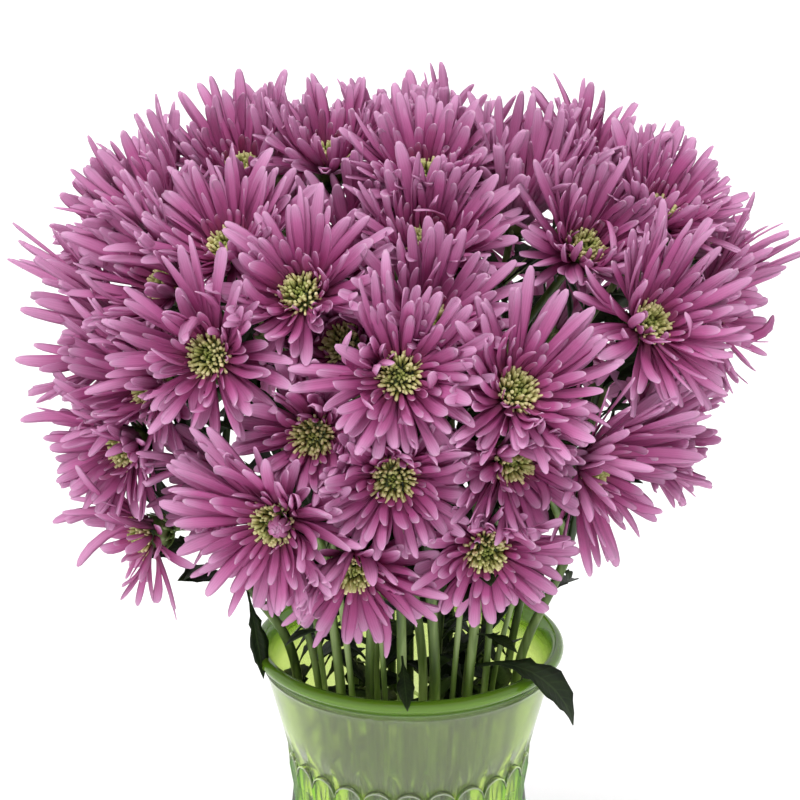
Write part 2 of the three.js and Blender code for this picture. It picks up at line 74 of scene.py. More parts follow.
# The vase: its rim, its relief of lozenges, its wall and floor, and its rounded heel
VASE = {
    "height": 190, "rim_radius": 68.5, "foot_height": 12,
    "relief_top": 134, "relief_top_radius": 51.5, "relief_foot_radius": 40, "belly": 1.6,
    "relief_depth": 3, "groove": 0.5, "end_relief": 0.6, "lozenges_around": 24, "lozenge_rows": 5,
    "wall": 4.4, "floor": 9, "heel": 6, "heel_height": 15, "flare_inset": 2.4,
}
WATER_LEVEL = 126
STEM_RADIUS = 2.3
# Twigs: their radius, how far up the stem's last stretch they leave it and how much that varies, and how
# strongly they set out and arrive straight
TWIG = {"radius": 1.6, "leaves_at": 0.75, "spread": 0.2, "pull": 0.35}
# A bloom, measured from its base: the depth and radius of its green cup, and the heights of its disc's rim
# and of its heart
HEAD = {"cup_depth": 9, "cup_radius": 8, "disc_rim": 6, "crown": 8.2}

# The rounded heap that the blooms' hearts lie on
HEAP_CENTRE = np.array((-2.0, 0.0, 318.0))
HEAP_RADII = np.array((132.0, 118.0, 100.0))

# Each bloom: its place on the heap (turn, lift, share of the heap's radius), the way it faces (turn, lift),
# how far its outer petals open from its axis, the length of its petals, its share of a full bloom's number
# of petals, and the stem that carries it. The source has the same blooms, but mostly other petal lengths,
# and blooms 4, 7, 8 and 10 face a little further round there.
BLOOMS = [
    (-90, 41, 1.07, -72, 50, 70, 44, 1, 7),
    (-101, 59, 1.03, -20, 66, 62, 37, 1, 7),
    (-51, 46, 1.01, -20, 56, 66, 36, 1, 7),
    (-66, 32, 0.98, -52, 30, 74, 42, 0.85, 1),
    (-84, 12, 0.96, -84, 12, 78, 50, 0.75, 1),
    (-38, 21, 1.04, -18, 26, 84, 35, 0.9, 2),
    (-59, 8, 0.96, -42, 12, 80, 36, 0.8, 1),
    (-65, -10, 1.01, -40, 2, 80, 34, 0.8, 1),
    (-47, -19, 0.86, -70, -2, 66, 33, 0.8, 2),
    (-66, -32, 1.11, -62, -2, 88, 35, 0.45, 1),
    (-23, 38, 1.03, -14, 38, 80, 32, 1, 7),
    (-16, 29, 0.8, -14, 30, 60, 27, 0.9, 3),
    (-1, 21, 1.05, 0, 26, 86, 34, 1, 3),
    (-18, 4, 0.91, -10, 10, 78, 29, 0.9, 2),
    (-24, -16, 1.04, -20, 6, 86, 41, 1, 2),
    (-2, -4, 0.97, 0, 14, 84, 30, 1, 3),
    (20, 17, 1.04, 24, 38, 80, 35, 1, 4),
    (21, -2, 0.95, 32, 2, 82, 32, 1, 4),
    (40, -8, 0.94, 58, 4, 80, 41, 0.8, 5),
    (16, -25, 1.01, 10, 2, 88, 29, 0.9, 4),
    (-11, -32, 1.01, -6, -12, 86, 36, 0.8, 3),
    (54, 25, 1.04, 38, 38, 80, 40, 1, 5),
    (88, 16, 1.05, 74, 14, 84, 40, 0.9, 5),
    (67, -11, 0.88, 88, 22, 66, 32, 0.8, 5),
    (59, 46, 0.95, 36, 48, 70, 34, 1, 8),
    (82, 43, 1.12, 50, 60, 64, 34, 1, 9),
    (106, 26, 1.14, 80, 34, 70, 30, 0.9, 9),
    (14, 76, 0.98, 0, 60, 64, 33, 1, 8),
    (79, 65, 0.85, 40, 78, 58, 47, 1, 8),
    (106, 53, 1.08, 70, 66, 62, 36, 1, 6),
    (9, 58, 0.88, 12, 60, 64, 37, 1, 8),
    (6, 34, 0.94, 20, 46, 66, 34, 1, 8),
    (-90, 76, 1.0, -10, 76, 60, 33, 1, 6),
    (-173, 72, 1.0, 180, 80, 66, 31, 1, 6),
    (151, 65, 1.0, 140, 74, 66, 34, 1, 6),
    (-111, 28, 1.14, -96, 42, 70, 38, 1, 10),
    (-22, 64, 0.76, -10, 64, 60, 38, 1, 7),
    (116, -8, 1.0, 116, 4, 82, 34, 0.9, 9),
    (146, -10, 1.0, 146, 2, 82, 38, 1, 9),
    (176, -8, 1.0, 176, 4, 82, 38, 1, 10),
    (-150, -10, 1.0, -150, 2, 82, 38, 1, 10),
    (-118, -8, 1.0, -118, 4, 82, 38, 1, 10),
    (134, 22, 1.0, 134, 28, 80, 36, 1, 9),
    (167, 22, 1.0, 168, 28, 80, 43, 1, 9),
    (-154, 24, 1.0, -154, 30, 80, 43, 1, 10),
    (178, 48, 1.0, 178, 56, 74, 36, 1, 6),
    (-134, 50, 1.0, -136, 58, 74, 38, 1, 10),
    (90, -20, 0.97, 92, -8, 80, 22, 0.7, 5),
]

# Each main stem: its turn, how far from the axis it stands on the floor, passes the mouth and forks,
# and the height of the fork.
STEMS = [
    (-78, 25, 52, 74, 228),
    (-42, 25, 45, 52, 236),
    (-4, 25, 45, 52, 238),
    (32, 25, 48, 56, 238),
    (67, 25, 52, 72, 240),
    (180, 7, 10, 14, 300),
    (-62, 9, 18, 30, 286),
    (42, 9, 18, 28, 286),
    (124, 25, 42, 46, 240),
    (-140, 25, 42, 46, 240),
]

# Each leaf: its stem, the height where it leaves it, its turn and lift there, how far it droops by its
# tip, how far its blade rolls round its own line, its length and its width. The source has the same leaves,
# some of them turned, bent or sized otherwise.
LEAVES = [
    (1, 226, 40, -68, 12, 4, 44, 10),
    (4, 198, 84, 20, 100, 28, 80, 17),
    (3, 207, 6, -28, 14, 0, 29, 8),
    (5, 236, 84, 20, 150, 20, 20, 7),
    (2, 212, -70, 20, 60, 10, 26, 9),
    (4, 214, 50, 20, 50, 10, 26, 7),
    (5, 222, 150, 30, 60, 0, 30, 13),
    (9, 210, 130, 15, 80, 10, 48, 16),
    (10, 212, -150, 10, 80, -10, 48, 16),
    (1, 214, -175, 30, 60, 0, 34, 14),
    (9, 224, 165, 20, 60, 0, 44, 15),
    (10, 226, -118, 20, 60, 10, 40, 14),
    (6, 236, 175, 25, 60, 0, 46, 16),
    (7, 236, -40, 30, 60, 0, 34, 14),
    (8, 236, 20, 30, 60, 0, 34, 14),
]

# Sizes that only this script has

# Side stems between the main ones, in the terms of STEMS, then the radius of each and how many degrees it
# turns on its way from the mouth to its top, which is lost among the petals.
SIDE_STEMS = [
    (-60, 24, 47, 62, 250, 1.6, -6),
    (-51, 24, 48, 60, 252, 1.2, 3),
    (-33, 24, 46, 54, 256, 1.4, -4),
    (-23, 24, 44, 50, 262, 2.0, 7),
    (-13, 24, 47, 52, 262, 1.3, -4),
    (-30, 12, 30, 36, 262, 2.0, 16),
    (14, 24, 46, 52, 262, 2.4, -6),
    (23, 24, 48, 53, 262, 1.3, 5),
    (12, 12, 30, 34, 266, 2.0, -18),
    (41, 24, 50, 60, 256, 1.5, -5),
    (50, 24, 48, 62, 254, 1.2, 7),
    (62, 12, 30, 44, 262, 2.0, -14),
    (95, 22, 46, 60, 256, 1.8, 0),
    (-108, 22, 44, 58, 256, 1.8, 0),
    (152, 22, 40, 46, 262, 2.0, 0),
    (-168, 22, 40, 46, 262, 2.0, 0),
]

# How a bloom is built up, from its outermost ring of petals inwards. Each ring: how many petals, shares
# of the bloom's opening and petal length, radius and height where they are rooted, share of their width.
RINGS = [
    (18, 1.00, 0.96, 7.4, 0.8, 1.00),
    (18, 0.94, 1.00, 7.6, 1.6, 1.00),
    (18, 0.85, 0.95, 7.7, 2.5, 0.98),
    (17, 0.74, 0.82, 7.6, 3.4, 0.92),
    (16, 0.61, 0.58, 7.4, 4.2, 0.74),
    (16, 0.47, 0.32, 7.0, 4.8, 0.56),
]
# A petal that would cut into another bloom or a stem is raised by steps, in degrees, to its steepest, and
# then shortened to these shares. Neighbouring blooms may overlap by a little.
PETAL_LIFT = 4
PETAL_STEEPEST = 14
PETAL_SHRINKS = (1.0, 0.9, 0.8, 0.7, 0.6, 0.5)
OVERLAP_BETWEEN_BLOOMS = 6

# Blooms whose discs show from the front, and the clear way that other blooms' petals leave before them: its
# lift towards the camera, its length and its radius
SHOWN_DISCS = (3, 4, 6, 7, 8, 10, 11, 12, 13, 14, 15, 16, 17, 18, 19, 20, 21, 22, 25)
SHOWN_LIFT = 19.5
SHOWN_REACH = 60
SHOWN_RADIUS = 8

# The bloom whose disc still holds an unopened knot of petals
KNOT_BLOOM = 15
# The knot: its height over the bloom's base and how far it sits aside, how its petals lean and curl in,
# their half-width, and its rings, each with how many petals, its radius and their length
KNOT = {
    "height": 5.6, "aside": 4.2, "lean": 0.12, "curl": 1.9, "half_width": 2.3,
    "rings": ((7, 3.8, 9.5), (7, 2.8, 9.0), (5, 1.6, 8.0)),
}

# Rows of a blade from root to tip, as shares of its length, and its half-width and cup at each row in
# four forms.
BLADE_ROWS = (0, 0.15, 0.35, 0.55, 0.75, 0.88, 0.96, 1)
BLADE_FORMS = {
    "strap": (
        (0.44, 0.60, 0.82, 0.97, 0.97, 0.85, 0.62, 0.27), (0.5, 0.4, 0.3, 0.25, 0.25, 0.25, 0.3, 0.3)),
    "channel": (
        (0.42, 0.55, 0.74, 0.90, 0.92, 0.80, 0.58, 0.25), (0.6, 0.8, 0.9, 0.9, 0.8, 0.7, 0.5, 0.4)),
    "arched": (
        (0.42, 0.58, 0.84, 0.98, 0.94, 0.78, 0.54, 0.2), (0.4, 0.2, 0, -0.25, -0.35, -0.3, -0.3, -0.2)),
    "spoon": (
        (0.42, 0.48, 0.56, 0.64, 0.8, 0.9, 0.82, 0.5), (0.8, 1.0, 1.1, 1.1, 0.9, 0.8, 0.9, 1.1)),
}
# A blade's thickness as a share of its half-width
BLADE_THICKNESS = 0.14

# A leaf's half-width along its length, with a tooth before its widest place and another near its tip
LEAF_OUTLINE = (
    (0, 0.10), (0.22, 0.14), (0.34, 0.34), (0.42, 0.70), (0.47, 0.54), (0.56, 0.86), (0.64, 1.0),
    (0.71, 0.82), (0.80, 0.74), (0.84, 0.50), (0.92, 0.28), (1, 0.03),
)
# A bract's half-width along its length
BRACT_OUTLINE = ((0, 0.7), (0.4, 1.0), (0.8, 0.7), (1, 0.15))
# How hollow a leaf is, and where the leaf and the bract stand in the list of blade forms
LEAF_CUP = 0.32
LEAF_FORM = 4
BRACT_FORM = 5

# Small leaves among the stems: the lowest, the height between two on a stem, their lengths, half-widths as
# shares of these and lifts, how wide they reach, and how far to the front they may grow below a certain
# height, so that the front stems show bare
FOLIAGE = {
    "lowest": 136, "apart": 8, "lengths": (24, 40), "shares": (0.17, 0.24), "lifts": (45, 82),
    "widest": 55, "foremost": -16, "bare_below": 222,
}

# How petals vary: how far they hang by their own weight, in degrees, and how far they stray; their shortest
# and longest shares of the bloom's length, and how much longer the upward ones are; their widths; the mean
# and spread of their curl and its growth from ring to ring; their other bends; how many are unruly, and by
# how much; and their tints
PETALS_VARY = {
    "hang": 7, "stray": 9, "lengths": (0.76, 1.14), "longer_up": 0.16, "widths": (0.8, 1.14),
    "curl": 0.12, "curl_spread": 0.33, "curl_by_ring": 0.07, "roll": 0.3, "twist": 0.4, "sway": 0.08,
    "unruly_share": 0.06, "unruly_by": 3.0, "unruly_rings": 4,
    "tint": 0.9, "tint_by_ring": 0.14, "tint_spread": 0.13,
}

# Florets: how far the disc is filled, the share of its radius where the open ones begin, their lengths open
# and closed, their half-width, how far the outermost lean out, how they stray, and how many open fully
FLORETS = {
    "spread": 6.6, "open_from": 0.38, "open_length": 5.0, "bud_length": 2.2, "width": 0.74,
    "lean": 1.1, "wobble": 0.22, "fully_open": 0.75,
}
GOLDEN_ANGLE = math.radians(137.508)

# Rings of bracts under a bloom: how many, radius, depth below the petals, opening in degrees and length
BRACT_RINGS = ((12, 4.4, 7.4, 48, 8.5), (13, 3.4, 8.6, 62, 7.0))
BRACT_HALF_WIDTH = 1.5

# The solid cup from the twig's end to the disc's bed: height above the bloom's base and radius
CUP = (
    (-10.5, 1.7), (-9, 2.4), (-7.8, 4.2), (-5.8, 5.8), (-3.0, 7.0), (0.6, 7.4), (2.4, 7.3), (3.6, 6.6),
)

# Leaves behind a bloom: how many, their lengths and half-widths
BLOOM_LEAVES = {"count": 7, "lengths": (24, 36), "half_widths": (6, 9)}

# Colours of small details, beside those that a user may change further down
PALE_PETAL_EDGE = (0.92, 0.70, 0.84)
FLORET_FOOT = (0.38, 0.36, 0.10)
FLORET_TIP = (0.84, 0.78, 0.42)
BUD_FOOT = (0.11, 0.15, 0.03)
BUD_TIP = (0.36, 0.42, 0.10)
DARK_STEM = (0.02, 0.04, 0.008)
PALE_STEM = (0.36, 0.46, 0.19)
DARK_LEAF = (0.006, 0.014, 0.004)
LEAF_VEIN = (0.05, 0.09, 0.025)
LEAF_UNDERSIDE = (0.09, 0.13, 0.07)
CLEAR_GLASS = (0.97, 1.0, 0.94)
CLOUDED_GLASS = (0.70, 0.77, 0.50)
PAINTED_HIGHLIGHT_WHITE = (0.93, 0.97, 0.90)
CLEAR_WATER = (0.97, 1.0, 0.96)
PALE_FLOOR = (0.96, 0.96, 0.96)


# Directions and places


def direction(turn, lift):
    """The unit direction with that turn and lift, in degrees."""
    turn, lift = math.radians(turn), math.radians(lift)
    return np.array((
        math.sin(turn) * math.cos(lift),
        -math.cos(turn) * math.cos(lift),
        math.sin(lift),
    ))


def unit(vector):
    return vector / np.linalg.norm(vector)


def square_to(along):
    """Two directions square to a third, as the part's source has them."""
    helper = np.array((0.0, 1.0, 0.0)) if abs(along[1]) < 0.9 else np.array((1.0, 0.0, 0.0))
    across = unit(np.cross(helper, along))
    return across, np.cross(along, across)


def source_jitter(number, draw):
    """The random number from -1 to 1 that the part's source uses for a bloom's draw."""
    wave = math.sin(number * 127.1 + draw * 311.7) * 43758.5453
    return (wave - math.floor(wave)) * 2 - 1


class Bloom:
    """One row of BLOOMS, worked out into places."""

    def __init__(self, number, row):
        turn, lift, share, face_turn, face_lift, self.open, self.length, self.fullness, self.stem = row
        self.number = number
        self.heart = direction(turn, lift) * HEAP_RADII * share + HEAP_CENTRE
        self.axis = direction(face_turn, face_lift)
        self.base = self.heart - self.axis * HEAD["crown"]
        self.across, self.over = square_to(self.axis)

    def outwards(self, angle):
        """The direction square to the bloom's axis at that angle round it, in radians."""
        return self.across * math.cos(angle) + self.over * math.sin(angle)


BLOOM_LIST = [Bloom(index + 1, row) for index, row in enumerate(BLOOMS)]


def stem_points(row):
    """The foot, mouth, bend and fork of a main stem, or of a side stem, which also leans aside."""
    turn, foot_out, mouth_out, fork_out, fork_height = row[:5]
    lean = row[6] if row in SIDE_STEMS else 0

    def at(out, height, leaned=0):
        level = direction(turn + leaned, 0)
        return np.array((level[0] * out, level[1] * out, height))

    bend = at((mouth_out + fork_out) / 2, (VASE["height"] + fork_height) / 2, lean / 2)
    foot, mouth = at(foot_out, VASE["floor"] + 0.3), at(mouth_out, VASE["height"])
    return [foot, mouth, bend, at(fork_out, fork_height, lean)]


def cubic(start, first, second, end, steps):
    """Points along a cubic Bezier curve."""
    t = np.linspace(0, 1, steps + 1)[:, None]
    return (1 - t) ** 3 * start + 3 * (1 - t) ** 2 * t * first + 3 * (1 - t) * t ** 2 * second + t ** 3 * end


def twig_points(bloom, steps):
    """A twig from its main stem to the bottom of its bloom's cup."""
    stem = stem_points(STEMS[bloom.stem - 1])
    bend, fork = stem[2], stem[3]
    start = bend + (fork - bend) * (TWIG["leaves_at"] + TWIG["spread"] * source_jitter(bloom.number, 0))
    end = bloom.base - bloom.axis * HEAD["cup_depth"]
    pull = np.linalg.norm(end - start) * TWIG["pull"]
    return cubic(start, start + unit(fork - bend) * pull, end - bloom.axis * pull, end, steps)


# Meshes, attributes and node trees


def mesh_object(name, vertices, faces, smooth=True):
    """A mesh object from millimetre places, linked to the scene at the origin."""
    mesh = bpy.data.meshes.new(name)
    mesh.from_pydata((np.asarray(vertices, float) * MM).tolist(), [], [list(face) for face in faces])
    mesh.update()
    if smooth:
        mesh.shade_smooth()
    piece = bpy.data.objects.new(name, mesh)
    bpy.context.scene.collection.objects.link(piece)
    return piece


def set_attribute(mesh, name, kind, domain, values):
    """Stores one named attribute on a mesh."""
    attribute = mesh.attributes.new(name, kind, domain)
    flat = np.asarray(values).ravel()
    attribute.data.foreach_set("vector" if kind == "FLOAT_VECTOR" else "value", flat)


class Field:
    """A value that runs through a geometry node tree. Arithmetic on fields adds the nodes for it."""

    def __init__(self, tree, socket, is_vector=False):
        self.tree = tree
        self.socket = socket
        self.is_vector = is_vector

    def _joined(self, kind, operation, values, is_vector):
        node = self.tree.nodes.new(kind)
        node.operation = operation
        for socket, value in zip(node.inputs, values):
            if isinstance(value, Field):
                self.tree.links.new(value.socket, socket)
            else:
                socket.default_value = value
        return Field(self.tree, node.outputs[0], is_vector)

    def _with(self, operation, other):
        kind = "ShaderNodeVectorMath" if self.is_vector else "ShaderNodeMath"
        return self._joined(kind, operation, (self, other), self.is_vector)

    def __add__(self, other):
        return self._with("ADD", other)

    def __sub__(self, other):
        return self._with("SUBTRACT", other)

    def __mul__(self, other):
        if not self.is_vector:
            return self._joined("ShaderNodeMath", "MULTIPLY", (self, other), False)
        node = self.tree.nodes.new("ShaderNodeVectorMath")
        node.operation = "SCALE"
        self.tree.links.new(self.socket, node.inputs[0])
        if isinstance(other, Field):
            self.tree.links.new(other.socket, node.inputs["Scale"])
        else:
            node.inputs["Scale"].default_value = other
        return Field(self.tree, node.outputs[0], True)

    def over(self, other):
        return self._joined("ShaderNodeMath", "DIVIDE", (self, other), False)

    def cross(self, other):
        return self._joined("ShaderNodeVectorMath", "CROSS_PRODUCT", (self, other), True)

    def sine(self):
        return self._joined("ShaderNodeMath", "SINE", (self,), False)

    def cosine(self):
        return self._joined("ShaderNodeMath", "COSINE", (self,), False)

    def part(self, axis):
        """One coordinate of a vector field."""
        node = self.tree.nodes.new("ShaderNodeSeparateXYZ")
        self.tree.links.new(self.socket, node.inputs[0])
        return Field(self.tree, node.outputs[axis])


def named_field(tree, name, data_type="FLOAT"):
    """Reads a named attribute as a field."""
    node = tree.nodes.new("GeometryNodeInputNamedAttribute")
    node.data_type = data_type
    node.inputs["Name"].default_value = name
    return Field(tree, node.outputs["Attribute"], data_type == "FLOAT_VECTOR")


def new_tree(name, inputs):
    """A geometry node tree with a geometry input and output and the named inputs."""
    tree = bpy.data.node_groups.new(name, "GeometryNodeTree")
    tree.interface.new_socket("Geometry", in_out="INPUT", socket_type="NodeSocketGeometry")
    for label, kind, default in inputs:
        socket = tree.interface.new_socket(label, in_out="INPUT", socket_type=kind)
        if default is not None:
            socket.default_value = default
    tree.interface.new_socket("Geometry", in_out="OUTPUT", socket_type="NodeSocketGeometry")
    return tree, tree.nodes.new("NodeGroupInput"), tree.nodes.new("NodeGroupOutput")


def end_tree(tree, group_input, group_output, steps, moves=()):
    """Joins geometry nodes one after another, and ends the tree as real, smooth and painted geometry."""
    realize = tree.nodes.new("GeometryNodeRealizeInstances")
    smooth = tree.nodes.new("GeometryNodeSetShadeSmooth")
    paint = tree.nodes.new("GeometryNodeSetMaterial")
    tree.links.new(group_input.outputs["Material"], paint.inputs["Material"])
    source = group_input.outputs[0]
    for node in (*steps, realize, *moves, smooth, paint):
        entry = next(s for s in node.inputs if s.type == "GEOMETRY" and not s.is_linked)
        tree.links.new(source, entry)
        source = next(s for s in node.outputs if s.type == "GEOMETRY")
    tree.links.new(source, group_output.inputs[0])


def finished_mesh(piece, tree, values):
    """Runs a node tree on a piece, with its inputs set by name, and keeps the result as a plain mesh."""
    modifier = piece.modifiers.new(tree.name, "NODES")
    modifier.node_group = tree
    sockets = {s.name: s.identifier for s in tree.interface.items_tree if s.in_out == "INPUT"}
    for name, value in values.items():
        modifier[sockets[name]] = value
    depsgraph = bpy.context.evaluated_depsgraph_get()
    made = bpy.data.meshes.new_from_object(piece.evaluated_get(depsgraph), depsgraph=depsgraph)
    piece.modifiers.remove(modifier)
    rough = piece.data
    piece.data = made
    bpy.data.meshes.remove(rough)
    made.name = piece.name
    return piece


def keep_attributes(piece, names):
    """Drops the attributes of a finished piece that only its node tree needed."""
    attributes = piece.data.attributes
    spare = [a.name for a in attributes if a.name not in names and not a.is_required and not a.is_internal]
    for name in spare:
        if name not in ("sharp_face", "sharp_edge", "material_index"):
            attributes.remove(attributes[name])


def dress(piece, nodes):
    """Hands a finished piece over to the frame."""
    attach(piece, BODY)
    if nodes:
        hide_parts(*nodes)


# Materials


class Finish:
    """A node material in the making: its Principled shader, and short ways to add nodes to it."""

    def __init__(self, name):
        self.material = bpy.data.materials.new(name)
        self.material.use_nodes = True
        self.nodes = self.material.node_tree.nodes
        self.links = self.material.node_tree.links
        self.shader = self.nodes["Principled BSDF"]

    def feed(self, socket, value):
        """Sets a socket from another socket, a plain colour or a number."""
        if isinstance(value, bpy.types.NodeSocket):
            self.links.new(value, socket)
        elif isinstance(value, tuple):
            socket.default_value = (*value, 1)
        else:
            socket.default_value = value

    def set(self, **values):
        """Feeds the shader's sockets, with their names' spaces written as underscores."""
        for name, value in values.items():
            self.feed(self.shader.inputs[name.replace("_", " ")], value)

    def attribute(self, name):
        node = self.nodes.new("ShaderNodeAttribute")
        node.attribute_name = name
        return node.outputs["Fac"]

    def ramp(self, factor, *stops):
        """A colour ramp from (place, colour) stops."""
        node = self.nodes.new("ShaderNodeValToRGB")
        elements = node.color_ramp.elements
        while len(elements) < len(stops):
            elements.new(0.5)
        for element, (place, colour) in zip(elements, stops):
            element.position = place
            element.color = (*colour, 1)
        self.feed(node.inputs[0], factor)
        return node.outputs[0]

    def mix(self, factor, first, second):
        """A colour between two others."""
        node = self.nodes.new("ShaderNodeMix")
        node.data_type = "RGBA"
        for index, value in ((0, factor), (6, first), (7, second)):
            self.feed(node.inputs[index], value)
        return node.outputs[2]

    def math(self, operation, first, second=0.0):
        """One arithmetic node on sockets or numbers."""
        node = self.nodes.new("ShaderNodeMath")
        node.operation = operation
        self.feed(node.inputs[0], first)
        self.feed(node.inputs[1], second)
        return node.outputs[0]

    def times(self, first, second):
        return self.math("MULTIPLY", first, second)

    def noise(self, scale, stretch=(1, 1, 1), detail=3):
        """Noise on object coordinates, stretched along the axes."""
        place = self.nodes.new("ShaderNodeTexCoord")
        mapping = self.nodes.new("ShaderNodeMapping")
        mapping.inputs["Scale"].default_value = stretch
        node = self.nodes.new("ShaderNodeTexNoise")
        node.inputs["Scale"].default_value = scale
        node.inputs["Detail"].default_value = detail
        self.feed(mapping.inputs["Vector"], place.outputs["Object"])
        self.feed(node.inputs["Vector"], mapping.outputs[0])
        return node.outputs["Fac"]

    def bump(self, height, strength, distance):
        node = self.nodes.new("ShaderNodeBump")
        node.inputs["Strength"].default_value = strength
        node.inputs["Distance"].default_value = distance
        self.feed(node.inputs["Height"], height)
        self.feed(self.shader.inputs["Normal"], node.outputs[0])

    def let_light_through(self, colour, weight):
        """Lets some light pass through a thin blade, coloured by it."""
        through = self.nodes.new("ShaderNodeBsdfTranslucent")
        blend = self.nodes.new("ShaderNodeMixShader")
        blend.inputs[0].default_value = weight
        self.feed(through.inputs["Color"], colour)
        self.feed(blend.inputs[1], self.shader.outputs[0])
        self.feed(blend.inputs[2], through.outputs[0])
        self.feed(self.nodes["Material Output"].inputs["Surface"], blend.outputs[0])


def petal_material(settings):
    """Mauve petals: magenta at the root, paler towards the tip and underneath, with fine lengthwise veins."""
    finish = Finish("mauve_petal")
    share, side = finish.attribute("share"), finish.attribute("side")
    tint, under = finish.attribute("tint"), finish.attribute("under")
    root, middle = tuple(settings.root_colour), tuple(settings.middle_colour)
    tip = tuple(settings.tip_colour)
    pale = finish.ramp(share, (0.0, root), (0.40, middle), (0.95, tip))
    deep = finish.ramp(share, (0.1, root), (0.72, middle), (0.94, tip), (1.0, PALE_PETAL_EDGE))
    upper = finish.mix(tint, deep, pale)
    lower = finish.mix(0.55, upper, tuple(settings.under_colour))
    surface = finish.mix(under, upper, lower)
    veins = finish.math("SINE", finish.times(side, 17.0))
    streaks = finish.noise(220)
    vein_depth = finish.times(finish.math("ADD", veins, streaks), 0.06)
    veined = finish.mix(vein_depth, surface, root)
    coloured = finish.mix(finish.times(finish.noise(90, detail=2), 0.22), veined, tip)
    finish.set(Base_Color=coloured, Roughness=0.48, Specular_IOR_Level=0.2)
    finish.bump(veins, 0.15, 0.0003)
    finish.let_light_through(coloured, 0.3)
    return finish.material


def disc_material(settings):
    """Yellow-green florets, darker down between them and in the middle of the disc."""
    finish = Finish("disc_floret")
    share = finish.attribute("share")
    ripe = finish.ramp(share, (0.0, FLORET_FOOT), (0.45, tuple(settings.floret_colour)), (1.0, FLORET_TIP))
    green = finish.ramp(share, (0.0, BUD_FOOT), (1.0, BUD_TIP))
    finish.set(Base_Color=finish.mix(finish.attribute("tint"), green, ripe), Roughness=0.5)
    return finish.material


def stem_material(settings):
    """Green stems with paler and darker streaks along them."""
    finish = Finish("green_stem")
    streaks = finish.noise(40, (5, 5, 0.25), 4)
    patches = finish.noise(26, (3, 3, 0.3), 1)
    both = finish.times(finish.math("ADD", streaks, patches), 0.5)
    colour = finish.ramp(both, (0.36, DARK_STEM), (0.5, tuple(settings.stem_colour)), (0.62, PALE_STEM))
    finish.set(Base_Color=colour, Roughness=0.45)
    finish.bump(streaks, 0.3, 0.0004)
    return finish.material


def leaf_material(settings):
    """Dark green leaves with a paler midrib and side veins."""
    finish = Finish("dark_leaf")
    share, side, under = (finish.attribute(name) for name in ("share", "side", "under"))
    blade = finish.ramp(finish.noise(120, detail=4), (0.3, DARK_LEAF), (0.7, tuple(settings.leaf_colour)))
    width = finish.math("ABSOLUTE", side)
    slant = finish.math("SUBTRACT", finish.times(share, 44.0), finish.times(width, 5.0))
    side_veins = finish.math("POWER", finish.math("ABSOLUTE", finish.math("SINE", slant)), 14.0)
    midrib = finish.math("LESS_THAN", width, 0.07)
    vein = finish.math("MAXIMUM", finish.times(side_veins, 0.35), midrib)
    veined = finish.mix(finish.times(vein, 0.4), blade, LEAF_VEIN)
    finish.set(Base_Color=finish.mix(finish.times(under, 0.5), veined, LEAF_UNDERSIDE),
               Roughness=0.5, Specular_IOR_Level=0.25)
    finish.bump(vein, 0.5, 0.0004)
    return finish.material


def glass_material(settings):
    """Green pressed glass: milky at its lip, cloudy on its band, and with a painted white highlight along its
    edges.

    The rest is clear. Thick parts come out darker, and the lozenges' tops are a deeper green.
    """
    finish = Finish("pressed_green_glass")
    # The edge attribute holds how strong the painted highlight is
    milk, edge = finish.attribute("milk"), finish.attribute("edge")
    colour = finish.ramp(milk, (0.0, CLEAR_GLASS), (0.14, CLOUDED_GLASS), (0.4, tuple(settings.milk_colour)))
    deep = finish.math("POWER", finish.attribute("cut"), 2.0)
    cut = finish.mix(deep, colour, tuple(settings.cut_colour))
    # Painted highlight: the glass lets less light through along its edges, as it does where it is milky
    milk_and_highlight = finish.math("MAXIMUM", milk, finish.times(edge, 0.6))
    rough = finish.nodes.new("ShaderNodeMapRange")
    for name, value in (("From Min", 0.03), ("From Max", 0.12), ("To Min", 0.01), ("To Max", 0.16)):
        rough.inputs[name].default_value = value
    finish.feed(rough.inputs["Value"], milk)
    # Painted highlight: the base colour turns white along the edges
    finish.set(Base_Color=finish.mix(edge, cut, PAINTED_HIGHLIGHT_WHITE), IOR=1.5, Roughness=rough.outputs[0],
               Transmission_Weight=finish.math("SUBTRACT", 1.0, milk_and_highlight))
    finish.bump(finish.noise(45, detail=2), 0.15, 0.001)
    absorb = finish.nodes.new("ShaderNodeVolumeAbsorption")
    absorb.inputs["Color"].default_value = (*settings.glass_colour, 1)
    absorb.inputs["Density"].default_value = settings.glass_density
    finish.feed(finish.nodes["Material Output"].inputs["Volume"], absorb.outputs[0])
    return finish.material


def water_material():
    """Clear water, hardly green."""
    finish = Finish("vase_water")
    finish.set(Base_Color=CLEAR_WATER, Transmission_Weight=1.0, IOR=1.333, Roughness=0.0)
    return finish.material


# Blades: the forms that petals, bracts and leaves are copied from

# Corners of a blade's section: place across, and 1 on its upper side, -1 on its lower side or 0 at its edge
BLADE_CORNERS = ((-1, 0), (-0.45, 1), (0.45, 1), (1, 0), (0.45, -1), (-0.45, -1))
LEAF_CORNERS = ((-1, 0), (-0.5, 1), (0, 1), (0.5, 1), (1, 0), (0.5, -1), (0, -1), (-0.5, -1))
BRACT_CORNERS = ((-1, 0), (0, 1), (1, 0), (0, -1))


